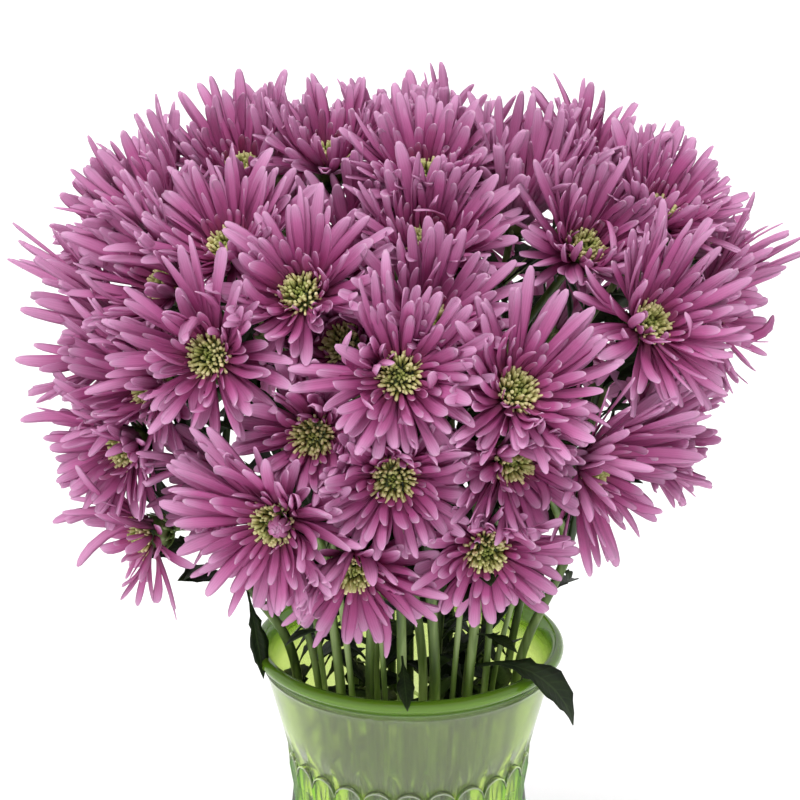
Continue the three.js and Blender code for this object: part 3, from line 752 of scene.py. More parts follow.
def blade_mesh(name, rows, half_widths, cups, corners=BLADE_CORNERS, thickness=BLADE_THICKNESS):
    """One closed blade. Its attribute "blade" holds across, along and height, for the tree to bend."""
    vertices = []
    for share, half, cup in zip(rows, half_widths, cups):
        for across, face in corners:
            height = cup * half * (across * across - 0.3) + face * thickness * (1 - 0.5 * share)
            vertices.append((across * half, share, height))
    count = len(corners)
    faces = [tuple(reversed(range(count)))]
    for row in range(len(rows) - 1):
        for corner in range(count):
            after = (corner + 1) % count
            a, b = row * count + corner, row * count + after
            faces.append((a, b, b + count, a + count))
    last = (len(rows) - 1) * count
    faces.append(tuple(range(last, last + count)))
    piece = mesh_object(name, vertices, faces)
    under = [1.0 if face < 0 else 0.0 for _ in rows for _, face in corners]
    set_attribute(piece.data, "blade", "FLOAT_VECTOR", "POINT", vertices)
    set_attribute(piece.data, "share", "FLOAT", "POINT", [v[1] for v in vertices])
    set_attribute(piece.data, "side", "FLOAT", "POINT", [c[0] for _ in rows for c in corners])
    set_attribute(piece.data, "under", "FLOAT", "POINT", under)
    return piece


def blade_forms(name):
    """The four petal forms, and after them the leaf and the bract."""
    pieces = [blade_mesh(form, BLADE_ROWS, *BLADE_FORMS[form]) for form in BLADE_FORMS]
    rows, half_widths = zip(*LEAF_OUTLINE)
    pieces.append(blade_mesh("leaf", rows, half_widths, [LEAF_CUP] * len(rows), LEAF_CORNERS, 0.05))
    rows, half_widths = zip(*BRACT_OUTLINE)
    pieces.append(blade_mesh("bract", rows, half_widths, [0.3] * len(rows), BRACT_CORNERS, 0.25))
    return forms_collection(name, pieces)


def floret_mesh(name, radii, heights, sides):
    """One closed floret of the disc, standing along Z, from radii at heights in shares of its length."""
    vertices = []
    for radius, height in zip(radii, heights):
        for side in range(sides):
            angle = 2 * math.pi * side / sides
            vertices.append((radius * math.cos(angle), radius * math.sin(angle), height))
    faces = []
    for row in range(len(radii) - 1):
        for side in range(sides):
            a, b = row * sides + side, row * sides + (side + 1) % sides
            faces.append((a, b, b + sides, a + sides))
    last = (len(radii) - 1) * sides
    faces.append(tuple(reversed(range(sides))))
    faces.append(tuple(range(last, last + sides)))
    piece = mesh_object(name, np.array(vertices), faces)
    set_attribute(piece.data, "share", "FLOAT", "POINT", [max(0.0, v[2]) for v in vertices])
    return piece


def forms_collection(name, pieces):
    """A collection that node trees pick forms from, in the order given."""
    collection = bpy.data.collections.new(name)
    for index, piece in enumerate(pieces):
        piece.name = f"{name}_{index}"
        bpy.context.scene.collection.objects.unlink(piece)
        collection.objects.link(piece)
    return collection


def drop_forms(collection):
    """Removes a collection of forms once every tree that copies them has run."""
    for piece in list(collection.objects):
        bpy.data.objects.remove(piece)
    bpy.data.collections.remove(collection)


def copies_from(tree, group_input, forms_name):
    """Nodes that copy a form from a collection onto each seat."""
    forms = tree.nodes.new("GeometryNodeCollectionInfo")
    forms.inputs["Separate Children"].default_value = True
    forms.inputs["Reset Children"].default_value = True
    tree.links.new(group_input.outputs[forms_name], forms.inputs["Collection"])
    copies = tree.nodes.new("GeometryNodeInstanceOnPoints")
    copies.inputs["Pick Instance"].default_value = True
    tree.links.new(forms.outputs[0], copies.inputs["Instance"])
    tree.links.new(named_field(tree, "form", "INT").socket, copies.inputs["Instance Index"])
    return copies


def blade_tree():
    """Copies a blade onto each seat, then bends and twists each one by its seat's own numbers."""
    tree, group_input, group_output = new_tree("bent_blades", [
        ("Forms", "NodeSocketCollection", None), ("Material", "NodeSocketMaterial", None),
    ])
    copies = copies_from(tree, group_input, "Forms")
    move = tree.nodes.new("GeometryNodeSetPosition")
    blade = named_field(tree, "blade", "FLOAT_VECTOR")
    seat = named_field(tree, "seat", "FLOAT_VECTOR")
    along = named_field(tree, "along", "FLOAT_VECTOR")
    up = named_field(tree, "up", "FLOAT_VECTOR")
    length = named_field(tree, "length")
    half_width = named_field(tree, "half_width")
    across_place, share, height = blade.part(0), blade.part(1), blade.part(2)
    curl = named_field(tree, "curl")
    bend = curl * share
    turn = named_field(tree, "twist") * share + named_field(tree, "roll")
    forward = (length * bend.sine()).over(curl)
    rise = (length * (bend.cosine() * -1.0 + 1.0)).over(curl)
    sideways = length * named_field(tree, "sway") * share * share
    over = up * bend.cosine() - along * bend.sine()
    across = along.cross(up)
    turned_across = across * turn.cosine() + over * turn.sine()
    turned_over = over * turn.cosine() - across * turn.sine()
    place = seat + along * forward + up * rise + across * sideways
    place = place + turned_across * (across_place * half_width) + turned_over * (height * half_width)
    tree.links.new(place.socket, move.inputs["Position"])
    end_tree(tree, group_input, group_output, [copies], [move])
    return tree


def floret_tree():
    """Stands a floret on each seat, along the seat's direction and at its own size."""
    tree, group_input, group_output = new_tree("standing_florets", [
        ("Forms", "NodeSocketCollection", None), ("Material", "NodeSocketMaterial", None),
    ])
    copies = copies_from(tree, group_input, "Forms")
    aim = tree.nodes.new("FunctionNodeAlignRotationToVector")
    aim.axis = "Z"
    tree.links.new(named_field(tree, "along", "FLOAT_VECTOR").socket, aim.inputs["Vector"])
    tree.links.new(aim.outputs[0], copies.inputs["Rotation"])
    tree.links.new(named_field(tree, "size", "FLOAT_VECTOR").socket, copies.inputs["Scale"])
    end_tree(tree, group_input, group_output, [copies])
    return tree


def ribbed_bar_tree():
    """Sweeps a ribbed round section along each line of a mesh, as thick as the line says."""
    tree, group_input, group_output = new_tree("ribbed_bars", [
        ("Ribs", "NodeSocketInt", 8),
        ("Rib Depth", "NodeSocketFloat", 0.07),
        ("Material", "NodeSocketMaterial", None),
    ])
    to_curve = tree.nodes.new("GeometryNodeMeshToCurve")
    radius = tree.nodes.new("GeometryNodeSetCurveRadius")
    tree.links.new(named_field(tree, "radius").socket, radius.inputs["Radius"])
    section = tree.nodes.new("GeometryNodeCurveStar")
    section.inputs["Outer Radius"].default_value = 1.0
    tree.links.new(group_input.outputs["Ribs"], section.inputs["Points"])
    inner = Field(tree, group_input.outputs["Rib Depth"]) * -1.0 + 1.0
    tree.links.new(inner.socket, section.inputs["Inner Radius"])
    sweep = tree.nodes.new("GeometryNodeCurveToMesh")
    sweep.inputs["Fill Caps"].default_value = True
    tree.links.new(section.outputs["Curve"], sweep.inputs["Profile Curve"])
    if "Scale" in sweep.inputs:
        tree.links.new(named_field(tree, "radius").socket, sweep.inputs["Scale"])
    end_tree(tree, group_input, group_output, [to_curve, radius, sweep])
    return tree


# Petals


def cell_planes(bloom):
    """Normals and distances of the planes that a bloom's petals may pass by only a little."""
    others = [other for other in BLOOM_LIST if other is not bloom]
    apart = np.array([other.heart - bloom.heart for other in others])
    gaps = np.linalg.norm(apart, axis=1)
    shares = np.array([bloom.length / (bloom.length + other.length) for other in others])
    return apart / gaps[:, None], gaps * shares + OVERLAP_BETWEEN_BLOOMS


def thick_lines(bloom):
    """The main stems and other blooms' twigs near a bloom, as starts, ends and radii."""
    lines = [(points[i], points[i + 1], STEM_RADIUS)
             for points in map(stem_points, STEMS) for i in range(len(points) - 1)]
    for other in BLOOM_LIST:
        if other is bloom:
            continue
        points = twig_points(other, 4)
        lines += [(points[i], points[i + 1], TWIG["radius"]) for i in range(len(points) - 1)]
        if other.number in SHOWN_DISCS:
            top = other.base + other.axis * HEAD["disc_rim"]
            lines.append((top, top + direction(0, SHOWN_LIFT) * SHOWN_REACH, SHOWN_RADIUS))
    starts, ends, radii = (np.array(column) for column in zip(*lines))
    reach = bloom.length + HEAD["cup_radius"] + STEM_RADIUS * 2
    near = line_distances(bloom.heart[None], starts, ends)[0] < reach
    return starts[near], ends[near], radii[near]


def line_distances(places, starts, ends):
    """The distance from each place to each straight line."""
    spans = ends - starts
    offsets = places[:, None, :] - starts[None]
    shares = np.clip((offsets * spans).sum(2) / (spans * spans).sum(1), 0, 1)
    return np.linalg.norm(offsets - shares[..., None] * spans, axis=2)


def petal_is_clear(places, heart, planes, lines, room):
    """Whether points along a petal stay on the bloom's side of the planes and off the stems and twigs."""
    normals, distances = planes
    if ((places - heart) @ normals.T > distances).any():
        return False
    starts, ends, radii = lines
    return not (line_distances(places, starts, ends) < radii + room).any()


CLEAR_SAMPLES = np.array((0.35, 0.55, 0.75, 1.0))


def fitted_petal(bloom, root, out, opening, length, planes, lines, room):
    """Raises a petal towards the bloom's axis in small steps, then shortens it, until it is clear."""
    steps = np.arange(max(opening, PETAL_STEEPEST), PETAL_STEEPEST - 0.1, -PETAL_LIFT)
    for shrink in PETAL_SHRINKS:
        for lifted in steps:
            angle = math.radians(lifted)
            along = bloom.axis * math.cos(angle) + out * math.sin(angle)
            reach = length * shrink
            places = root + along * (CLEAR_SAMPLES * reach)[:, None]
            if petal_is_clear(places, bloom.heart, planes, lines, room):
                return along, reach
    return along, reach


def upper_side(axis, out, along):
    """The way that a petal's upper side faces: square to the petal, and towards the bloom's axis."""
    return unit(axis * np.dot(along, out) - out * np.dot(along, axis))


def blade_seat(root, along, up, length, half_width, curl=0.1, form=0, tint=0.5, **bends):
    """One blade: where it starts, how it lies, its size, its bends in radians, its form and its tint."""
    return {
        "seat": root, "along": along, "up": up, "length": length, "half_width": half_width,
        "curl": math.copysign(max(abs(curl), 0.01), curl), "roll": bends.get("roll", 0.0),
        "twist": bends.get("twist", 0.0), "sway": bends.get("sway", 0.0),
        "form": form, "tint": min(max(tint, 0.0), 1.0),
    }


def petal_seats(bloom, settings):
    """Where each petal of a bloom is rooted, and how it lies."""
    rng = np.random.default_rng(settings.seed + bloom.number)
    planes, lines = cell_planes(bloom), thick_lines(bloom)
    half_width = settings.petal_width / MM / 2
    vary = PETALS_VARY
    seats = []
    for ring, (count, open_share, length_share, radius, height, width_share) in enumerate(RINGS):
        count = round(count * bloom.fullness)
        start = rng.uniform(0, 2 * math.pi)
        for index in range(count):
            angle = start + 2 * math.pi * (index + rng.uniform(-0.3, 0.3)) / count
            out = bloom.outwards(angle)
            root = bloom.base + bloom.axis * height + out * radius
            opening = bloom.open * open_share - vary["hang"] * out[2] + rng.normal(0, vary["stray"])
            length = bloom.length * length_share * rng.uniform(*vary["lengths"])
            length *= 1 + vary["longer_up"] * out[2]
            along, length = fitted_petal(bloom, root, out, opening, length, planes, lines, half_width * 0.6)
            is_unruly = rng.uniform() < vary["unruly_share"] and ring < vary["unruly_rings"]
            unruly = vary["unruly_by"] if is_unruly else 1.0
            seats.append(blade_seat(
                root, along, upper_side(bloom.axis, out, along), length,
                half_width * width_share * rng.uniform(*vary["widths"]),
                curl=rng.normal(vary["curl"], vary["curl_spread"]) * unruly + vary["curl_by_ring"] * ring,
                roll=rng.normal(0, vary["roll"]), twist=rng.normal(0, vary["twist"]),
                sway=rng.normal(0, vary["sway"]) * unruly, form=int(rng.choice(4, p=settings.form_shares())),
                tint=rng.normal(vary["tint"] - vary["tint_by_ring"] * ring, vary["tint_spread"])))
    if bloom.number == KNOT_BLOOM:
        seats += knot_seats(bloom, rng)
    return seats


def knot_seats(bloom, rng):
    """The unopened knot of petals on one side of a disc: short, dark and rolled over its middle."""
    seats = []
    side = unit(bloom.across * bloom.across[0] + bloom.over * bloom.over[0])
    middle = bloom.base + bloom.axis * KNOT["height"] + side * KNOT["aside"]
    for count, spread, length in KNOT["rings"]:
        for index in range(count):
            out = bloom.outwards(2 * math.pi * (index + spread) / count)
            along = unit(bloom.axis + out * KNOT["lean"] * spread)
            up = upper_side(bloom.axis, out, along)
            seats.append(blade_seat(
                middle + out * spread, along, up, length * rng.uniform(0.9, 1.1), KNOT["half_width"],
                curl=KNOT["curl"] * rng.uniform(0.9, 1.1), twist=rng.normal(0, 0.15), form=1, tint=0.0))
    return seats


def seats_object(name, seats, numbers, vectors, whole=("form",)):
    """A mesh of loose points that carries each seat's numbers and directions as attributes."""
    places = np.array([seat["seat"] for seat in seats])
    piece = mesh_object(name, places, [], smooth=False)
    for key in numbers:
        lengths = key in ("length", "half_width", "radius")
        values = [seat[key] * (MM if lengths else 1) for seat in seats]
        set_attribute(piece.data, key, "FLOAT", "POINT", values)
    for key in vectors:
        values = np.array([seat[key] for seat in seats]) * (MM if key == "seat" else 1)
        set_attribute(piece.data, key, "FLOAT_VECTOR", "POINT", values)
    for key in whole:
        set_attribute(piece.data, key, "INT", "POINT", [seat[key] for seat in seats])
    return piece


BLADE_NUMBERS = ("length", "half_width", "curl", "roll", "twist", "sway", "tint")
BLADE_VECTORS = ("seat", "along", "up")
PAINT_ATTRIBUTES = ("share", "side", "under", "tint")


def make_blades(name, seats, tree, forms, material):
    """A finished piece of bent blades on the given seats."""
    piece = seats_object(name, seats, BLADE_NUMBERS, BLADE_VECTORS)
    finished_mesh(piece, tree, {"Forms": forms, "Material": material})
    keep_attributes(piece, PAINT_ATTRIBUTES)
    return piece


# Discs, cups and bracts


def disc_seats(bloom, settings):
    """Florets set out on the disc in spirals, tall and open at its edge, short and green in its middle."""
    rng = np.random.default_rng(settings.seed + 1000 + bloom.number)
    count = settings.florets
    seats = []
    for index in range(count):
        share = math.sqrt((index + 0.5) / count)
        angle = index * GOLDEN_ANGLE
        out = bloom.outwards(angle)
        height = HEAD["disc_rim"] - 2.8 + 1.2 * math.sin(math.pi * min(1.0, share * 1.05))
        open_out = share > FLORETS["open_from"]
        length = FLORETS["open_length" if open_out else "bud_length"] * rng.uniform(0.75, 1.25)
        width = FLORETS["width"] * rng.uniform(0.8, 1.2)
        wobble = rng.normal(0, FLORETS["wobble"], 3)
        seats.append({
            "seat": bloom.base + bloom.axis * height + out * FLORETS["spread"] * share,
            "along": unit(bloom.axis + out * (FLORETS["lean"] * share * share) + wobble),
            "size": (width, width, length), "form": int(open_out and rng.uniform() < FLORETS["fully_open"]),
            "tint": float(np.clip(share * 1.5 - 0.35 + rng.normal(0, 0.12), 0, 1)),
        })
    return seats


def make_florets(name, seats, tree, forms, material):
    """A finished piece of florets on the given seats."""
    piece = seats_object(name, seats, ("tint",), ("along", "size"))
    finished_mesh(piece, tree, {"Forms": forms, "Material": material})
    keep_attributes(piece, PAINT_ATTRIBUTES)
    return piece


def bract_seats(bloom, rng):
    """Two rings of narrow green bracts that clasp the cup under the petals."""
    seats = []
    for count, radius, depth, opening, length in BRACT_RINGS:
        start = rng.uniform(0, 2 * math.pi)
        for index in range(count):
            out = bloom.outwards(start + 2 * math.pi * (index + rng.uniform(-0.15, 0.15)) / count)
            lean = math.radians(opening + rng.normal(0, 4))
            along = bloom.axis * math.cos(lean) + out * math.sin(lean)
            seats.append(blade_seat(
                bloom.base - bloom.axis * depth + out * radius, along, upper_side(bloom.axis, out, along),
                length * rng.uniform(0.9, 1.1), BRACT_HALF_WIDTH,
                curl=rng.normal(0.35, 0.1), form=BRACT_FORM))
    return seats


def cup_line(bloom):
    """The middle line and radii of the solid cup, from the twig's end to the bed of the disc."""
    heights, radii = zip(*CUP)
    return [bloom.base + bloom.axis * height for height in heights], radii


def lines_object(name, lines):
    """A mesh of separate lines, with a radius at each point, from (points, radii) pairs."""
    vertices, edges, radii = [], [], []
    for points, widths in lines:
        first = len(vertices)
        vertices += [tuple(p) for p in points]
        radii += list(widths)
        edges += [(first + i, first + i + 1) for i in range(len(points) - 1)]
    mesh = bpy.data.meshes.new(name)
    mesh.from_pydata((np.array(vertices) * MM).tolist(), edges, [])
    piece = bpy.data.objects.new(name, mesh)
    bpy.context.scene.collection.objects.link(piece)
    set_attribute(mesh, "radius", "FLOAT", "POINT", np.array(radii) * MM)
    return piece


def smooth_line(points, steps):
    """A smooth line through a stem's points: straight to the mouth, then curved to the fork."""
    foot, mouth, bend, fork = points
    rising = [foot + (mouth - foot) * t for t in np.linspace(0, 0.92, steps)]
    lead = foot + (mouth - foot) * 1.08
    upper = cubic(foot + (mouth - foot) * 0.95, lead, bend, fork, steps)
    return np.array(rising + list(upper))


def spray_lines(number):
    """The lines of one spray: its main stem, its twigs and its blooms' cups."""
    stem = smooth_line(stem_points(STEMS[number - 1]), 12)
    taper = np.linspace(STEM_RADIUS, STEM_RADIUS * 0.88, len(stem))
    lines = [(stem, taper)]
    for bloom in BLOOM_LIST:
        if bloom.stem == number:
            twig = twig_points(bloom, 14)
            swell = np.linspace(1.15, 0.95, len(twig)) * TWIG["radius"]
            lines.append((twig, swell))
            lines.append(cup_line(bloom))
    return lines


# Leaves


def stem_place(row, height):
    """The point of a main stem at a height."""
    points = stem_points(row)
    above = next(i for i, point in enumerate(points) if point[2] > height)
    low, high = points[above - 1], points[above]
    return low + (high - low) * ((height - low[2]) / (high[2] - low[2]))


def leaf_seat(leaf, tint):
    """A leaf of the table as a blade that bends from its first direction down to its last."""
    stem, height, turn, lift, droop, roll, length, width = leaf
    along = direction(turn, lift)
    up = np.cross(along, direction(turn + 90, 0))
    half = math.radians(droop) / 2
    straightened = math.cos(half) * half / math.sin(half) if half else 1.0
    return blade_seat(
        stem_place(STEMS[stem - 1], height), along, up, length * straightened, width / 2,
        curl=-2 * half, roll=-math.radians(roll), form=LEAF_FORM, tint=tint)


def foliage_seats(row, rng):
    """Small dark leaves up one stem, in the vase's mouth and above it."""
    seats = []
    for height in np.arange(FOLIAGE["lowest"], row[4] - FOLIAGE["apart"], FOLIAGE["apart"]):
        turn = rng.uniform(-180, 180)
        root = stem_place(row, height + rng.uniform(0, 6))
        if root[1] < FOLIAGE["foremost"] and root[2] < FOLIAGE["bare_below"]:
            continue
        length = rng.uniform(*FOLIAGE["lengths"])
        if np.linalg.norm((root + direction(turn, 35) * length * 0.8)[:2]) > FOLIAGE["widest"]:
            turn = math.degrees(math.atan2(-root[0], root[1])) + rng.uniform(-50, 50)
        along = direction(turn, rng.uniform(*FOLIAGE["lifts"]))
        up = unit(np.cross(along, direction(turn + 90, 0)))
        seats.append(blade_seat(
            root, along, up, length, length * rng.uniform(*FOLIAGE["shares"]), curl=-rng.uniform(0.3, 1.3),
            twist=rng.normal(0, 0.5), form=LEAF_FORM, tint=rng.uniform(0, 0.5)))
    return seats


def bloom_leaf_seats(blooms, rng):
    """Dark leaves on each bloom's twig, behind the bloom."""
    seats = []
    for bloom in blooms:
        twig = twig_points(bloom, 10)
        for place in rng.choice(range(2, 10), BLOOM_LEAVES["count"], replace=False):
            tangent = unit(twig[place + 1] - twig[place])
            side, over = square_to(tangent)
            angle = rng.uniform(0, 2 * math.pi)
            out = side * math.cos(angle) + over * math.sin(angle)
            along = unit(tangent + out * rng.uniform(0.5, 1.0))
            seats.append(blade_seat(
                twig[place], along, upper_side(tangent, out, along), rng.uniform(*BLOOM_LEAVES["lengths"]),
                rng.uniform(*BLOOM_LEAVES["half_widths"]), curl=-rng.uniform(0.1, 0.7),
                twist=rng.normal(0, 0.4), form=LEAF_FORM, tint=rng.uniform(0, 0.6)))
    return seats


# The vase and its water


# The scalloped edge of the lozenges: how high each arch is, and where it starts above the relief's top
SCALLOP = {"rise": 7.5, "lowest": -0.5}
# The lip as it is seen: its radius, how far it stands above the vase's height, and its fine ridges below
LIP = {"radius": 2.8, "above": 2.6, "ridges": (7.6, 10.2)}
STEPS_PER_CELL = 6
AROUND = VASE["lozenges_around"] * 2 * STEPS_PER_CELL


def tapered_radius(height):
    share = (height - VASE["foot_height"]) / (VASE["relief_top"] - VASE["foot_height"])
    return VASE["relief_foot_radius"] + (VASE["relief_top_radius"] - VASE["relief_foot_radius"]) * share


def outer_radius(height):
    share = (height - VASE["foot_height"]) / (VASE["relief_top"] - VASE["foot_height"])
    return tapered_radius(height) + VASE["belly"] * math.sin(math.pi * share)


def inner_radius(height):
    if height < VASE["relief_top"]:
        return tapered_radius(height) - VASE["wall"]
    share = (height - VASE["relief_top"]) / (VASE["height"] - VASE["relief_top"])
    top = VASE["rim_radius"] - VASE["flare_inset"]
    return VASE["relief_top_radius"] + (top - VASE["relief_top_radius"]) * share - VASE["wall"]


def lozenge_height(column, row):
    """How high the relief stands at a place counted in half lozenges, from 0 in a groove to 1 at a top."""
    nearest = [
        abs(column - c) + abs(row - r)
        for c in (math.floor(column), math.floor(column) + 1)
        for r in (math.floor(row), math.floor(row) + 1)
        if (c + r) % 2 == 0
    ]
    return max(0.0, 1.0 - min(nearest))


def scallop(column):
    """The relief's scalloped upper edge, from about 0 between two arches to 1 at the top of each."""
    nearest = abs((column - 1) % 2 - 1)
    return math.sqrt(max(0.0, 1 - nearest ** 2 * 0.98))


def ring_points(radius_at, height_at):
    """One ring of the vase, from functions of the place round it in half lozenges."""
    points = []
    for step in range(AROUND):
        column = step / STEPS_PER_CELL
        angle = 2 * math.pi * step / AROUND
        radius, height = radius_at(column), height_at(column)
        points.append((radius * math.sin(angle), -radius * math.cos(angle), height))
    return points


def plain_ring(radius, height):
    return ring_points(lambda column: radius, lambda column: height)


def relief_rings():
    """The rings of the lozenges, with the last one following the scalloped edge."""
    rings = []
    rows = VASE["lozenge_rows"]
    cell = (VASE["relief_top"] - VASE["foot_height"]) / rows
    for step in range(rows * STEPS_PER_CELL + 1):
        row = step / STEPS_PER_CELL
        height = VASE["foot_height"] + row * cell
        fade = VASE["end_relief"] + (1 - VASE["end_relief"]) * min(1.0, row, max(rows - row, 0.55))
        rise = max(0.0, row - rows + 1) ** 2

        def radius_at(column, row=row, height=height, fade=fade):
            relief = lozenge_height(column, row) * (VASE["relief_depth"] + VASE["groove"]) * fade
            return outer_radius(height) - VASE["groove"] + relief

        def height_at(column, height=height, rise=rise):
            return height + rise * (scallop(column) * SCALLOP["rise"] + SCALLOP["lowest"])

        rings.append(ring_points(radius_at, height_at))
    return rings


# The bead's rings: how far each stands out, and how far it is above the scalloped edge
BEAD = ((1.5, 0.2), (2.2, 0.6), (2.2, 1.2), (1.5, 1.7), (0.6, 2.1))
BAND_RINGS = 9


def band_rings():
    """The bead along the scallops, and the plain flaring band up to the lip."""
    rings = []
    base = VASE["relief_top_radius"]
    edge = VASE["relief_top"] + SCALLOP["lowest"]
    for out, up in BEAD:
        rings.append(ring_points(
            lambda column, out=out: base + out + 0.5 * scallop(column),
            lambda column, up=up: edge + up + scallop(column) * SCALLOP["rise"],
        ))
    bottom, top = VASE["relief_top"] + 5, VASE["height"] - 10
    for share in np.linspace(0, 1, BAND_RINGS):
        settle = min(1.0, share * 2.5)
        height = bottom + (top - bottom) * share
        radius = inner_radius(height) + VASE["wall"]
        rings.append(ring_points(
            lambda column, radius=radius: radius,
            lambda column, height=height, settle=settle: (
                height + (1 - settle) * (scallop(column) * SCALLOP["rise"] + SCALLOP["lowest"] - 1.5)),
        ))
    return rings


def lip_rings():
    """Two fine ridges under the lip, then the rolled lip itself."""
    height, lip = VASE["height"] + LIP["above"], LIP["radius"]
    rings = []
    for below in reversed(LIP["ridges"]):
        wall = inner_radius(min(height - below, VASE["height"])) + VASE["wall"]
        rings += [plain_ring(wall + out, height - below + up) for out, up in ((0, -0.7), (0.6, 0), (0, 0.7))]
    for angle in np.linspace(-60, 150, 12):
        turn = math.radians(angle)
        radius = VASE["rim_radius"] - lip + lip * math.cos(turn)
        rings.append(plain_ring(radius, height - lip + lip * math.sin(turn)))
    return rings


# The foot's rings: radius and height
FOOT = ((38, 0.6), (40, 0), (41.4, 0.5), (42, 2), (41.9, 5), (41.2, 7.6), (40.2, 9.4))


def vase_rings():
    """All the vase's rings, from its foot up the outside, over the lip and down the inside."""
    rings = [plain_ring(radius, height) for radius, height in FOOT]
    rings += relief_rings() + band_rings() + lip_rings()
    heights = [VASE["height"] - below for below in (3, 14, 24, 36, 48)]
    heights += [VASE["relief_top"] - below for below in (0, 4, 10, 30, 60, 90)]
    heights += [VASE["heel_height"] + 4]
    rings += [plain_ring(inner_radius(height), height) for height in heights]
    heel, floor = inner_radius(VASE["heel_height"]), VASE["floor"]
    for angle in (20, 45, 70, 90):
        turn = math.radians(angle)
        rings.append(plain_ring(heel - VASE["heel"] * (1 - math.cos(turn)), floor + 6 * (1 - math.sin(turn))))
    return rings


def skinned(name, rings, start_pole, end_pole):
    """A closed mesh over a run of rings, with a middle point at each end.

    Each square is split along the diagonal that stands out more, so that ridges stay sharp.
    """
    count = len(rings[0])
    vertices = [start_pole] + [point for ring in rings for point in ring] + [end_pole]
    last = len(vertices) - 1
    faces = []
    for step in range(count):
        after = (step + 1) % count
        faces.append((0, 1 + after, 1 + step))
        first = 1 + (len(rings) - 1) * count
        faces.append((last, first + step, first + after))
    for row in range(len(rings) - 1):
        for step in range(count):
            after = (step + 1) % count
            a, b = 1 + row * count + step, 1 + row * count + after
            c, d = b + count, a + count
            first_out = np.linalg.norm(np.add(vertices[a], vertices[c]))
            second_out = np.linalg.norm(np.add(vertices[b], vertices[d]))
            faces += [(a, b, d), (b, c, d)] if first_out < second_out else [(a, b, c), (a, c, d)]
    return mesh_object(name, vertices, faces)


# How strong the painted highlight is, a white painted into the glass, in a groove between lozenges, along the
# bead and on a ridge under the lip
PAINTED_HIGHLIGHT_STRENGTH = {"groove": 0.4, "bead": 0.55, "ridge": 0.4}


def vase_paint(rings):
    """How strong the painted highlight is at each point of the rings, and how deep in a lozenge's green it
    is.
    """
    edge, cut = np.zeros((len(rings), AROUND)), np.zeros((len(rings), AROUND))
    steps = VASE["lozenge_rows"] * STEPS_PER_CELL + 1
    for step in range(steps):
        for place in range(AROUND):
            high = lozenge_height(place / STEPS_PER_CELL, step / STEPS_PER_CELL)
            cut[len(FOOT) + step, place] = high
            # Painted highlight in the grooves
            edge[len(FOOT) + step, place] = PAINTED_HIGHLIGHT_STRENGTH["groove"] if high < 0.1 else 0.0
    bead = len(FOOT) + steps
    # Painted highlight along the bead and on two ridges under the lip
    edge[bead + 1:bead + 3] = PAINTED_HIGHLIGHT_STRENGTH["bead"]
    ridges = bead + len(BEAD) + BAND_RINGS
    edge[[ridges + 1, ridges + 4]] = PAINTED_HIGHLIGHT_STRENGTH["ridge"]
    return edge, cut


# How milky the glass is at heights up the vase
MILK_HEIGHTS = (0, 120, 136, 182, 186.5, 193)
MILK_SHARES = (0.02, 0.03, 0.10, 0.12, 0.5, 0.55)


def make_vase(material):
    """The pressed glass vase as one closed body."""
    rings = vase_rings()
    vase = skinned("vase_glass", rings, (0, 0, 0.6), (0, 0, VASE["floor"]))
    vase.data.set_sharp_from_angle(angle=math.radians(24))
    heights = [vertex.co.z / MM for vertex in vase.data.vertices]
    set_attribute(vase.data, "milk", "FLOAT", "POINT", np.interp(heights, MILK_HEIGHTS, MILK_SHARES))
    # The painted highlight along the edges, and the deeper green of the lozenges' tops
    for name, values in zip(("edge", "cut"), vase_paint(rings)):
        set_attribute(vase.data, name, "FLOAT", "POINT", [0.0, *values.ravel(), 0.0])
    vase.data.materials.append(material)
    return vase


def make_water(material):
    """The water, a hair larger than the vase's inside so that no air shows between them."""
    wet = 0.15
    heel, floor = inner_radius(VASE["heel_height"]), VASE["floor"]
    rings = []
    for angle in (90, 70, 45, 20):
        turn = math.radians(angle)
        radius = heel + wet - VASE["heel"] * (1 - math.cos(turn))
        rings.append(plain_ring(radius, floor - wet + 6 * (1 - math.sin(turn))))
    heights = [VASE["heel_height"] + 4, 40, 80, WATER_LEVEL]
    rings += [plain_ring(inner_radius(height) + wet, height) for height in heights]
    water = skinned("water_body", rings, (0, 0, floor - wet), (0, 0, WATER_LEVEL))
    water.data.set_sharp_from_angle(angle=math.radians(30))
    water.data.materials.append(material)
    return water


# Sizes and colours that a user may change


def a_colour(name, description, default):
    return bpy.props.FloatVectorProperty(
        name=name, description=description, default=default, subtype="COLOR", min=0, max=1)


def a_number(name, description, default, **limits):
    return bpy.props.FloatProperty(name=name, description=description, default=default, **limits)


def a_count(name, description, default, **limits):
    return bpy.props.IntProperty(name=name, description=description, default=default, **limits)


LENGTH = {"subtype": "DISTANCE", "unit": "LENGTH"}


class PetalSettings(bpy.types.PropertyGroup):
    """Sizes and colours of the petals."""

    petal_width: a_number(
        "Petal Width", "Width of an outer petal at its widest", 5.6 * MM, min=0.002, max=0.009, **LENGTH)
    seed: a_count("Seed", "Starts the random numbers that vary the petals", 7)
    spoon_share: a_number(
        "Spoon Share", "Share of petals that stay rolled like a spoon", 0.12,
        min=0, max=0.4, subtype="FACTOR")
    root_colour: a_colour("Root Colour", "Colour of a petal at its root", (0.25, 0.006, 0.065))
    middle_colour: a_colour("Middle Colour", "Colour of a petal near its middle", (0.62, 0.098, 0.37))
    tip_colour: a_colour("Tip Colour", "Colour of a petal at its tip", (0.81, 0.44, 0.70))
    under_colour: a_colour("Underside Colour", "Colour that a petal's underside leans to", (0.76, 0.38, 0.62))

    def form_shares(self):
        """Shares of the strap, channel, arched and spoon forms."""
        rest = 1 - self.spoon_share
        return (rest * 0.45, rest * 0.33, rest * 0.22, self.spoon_share)


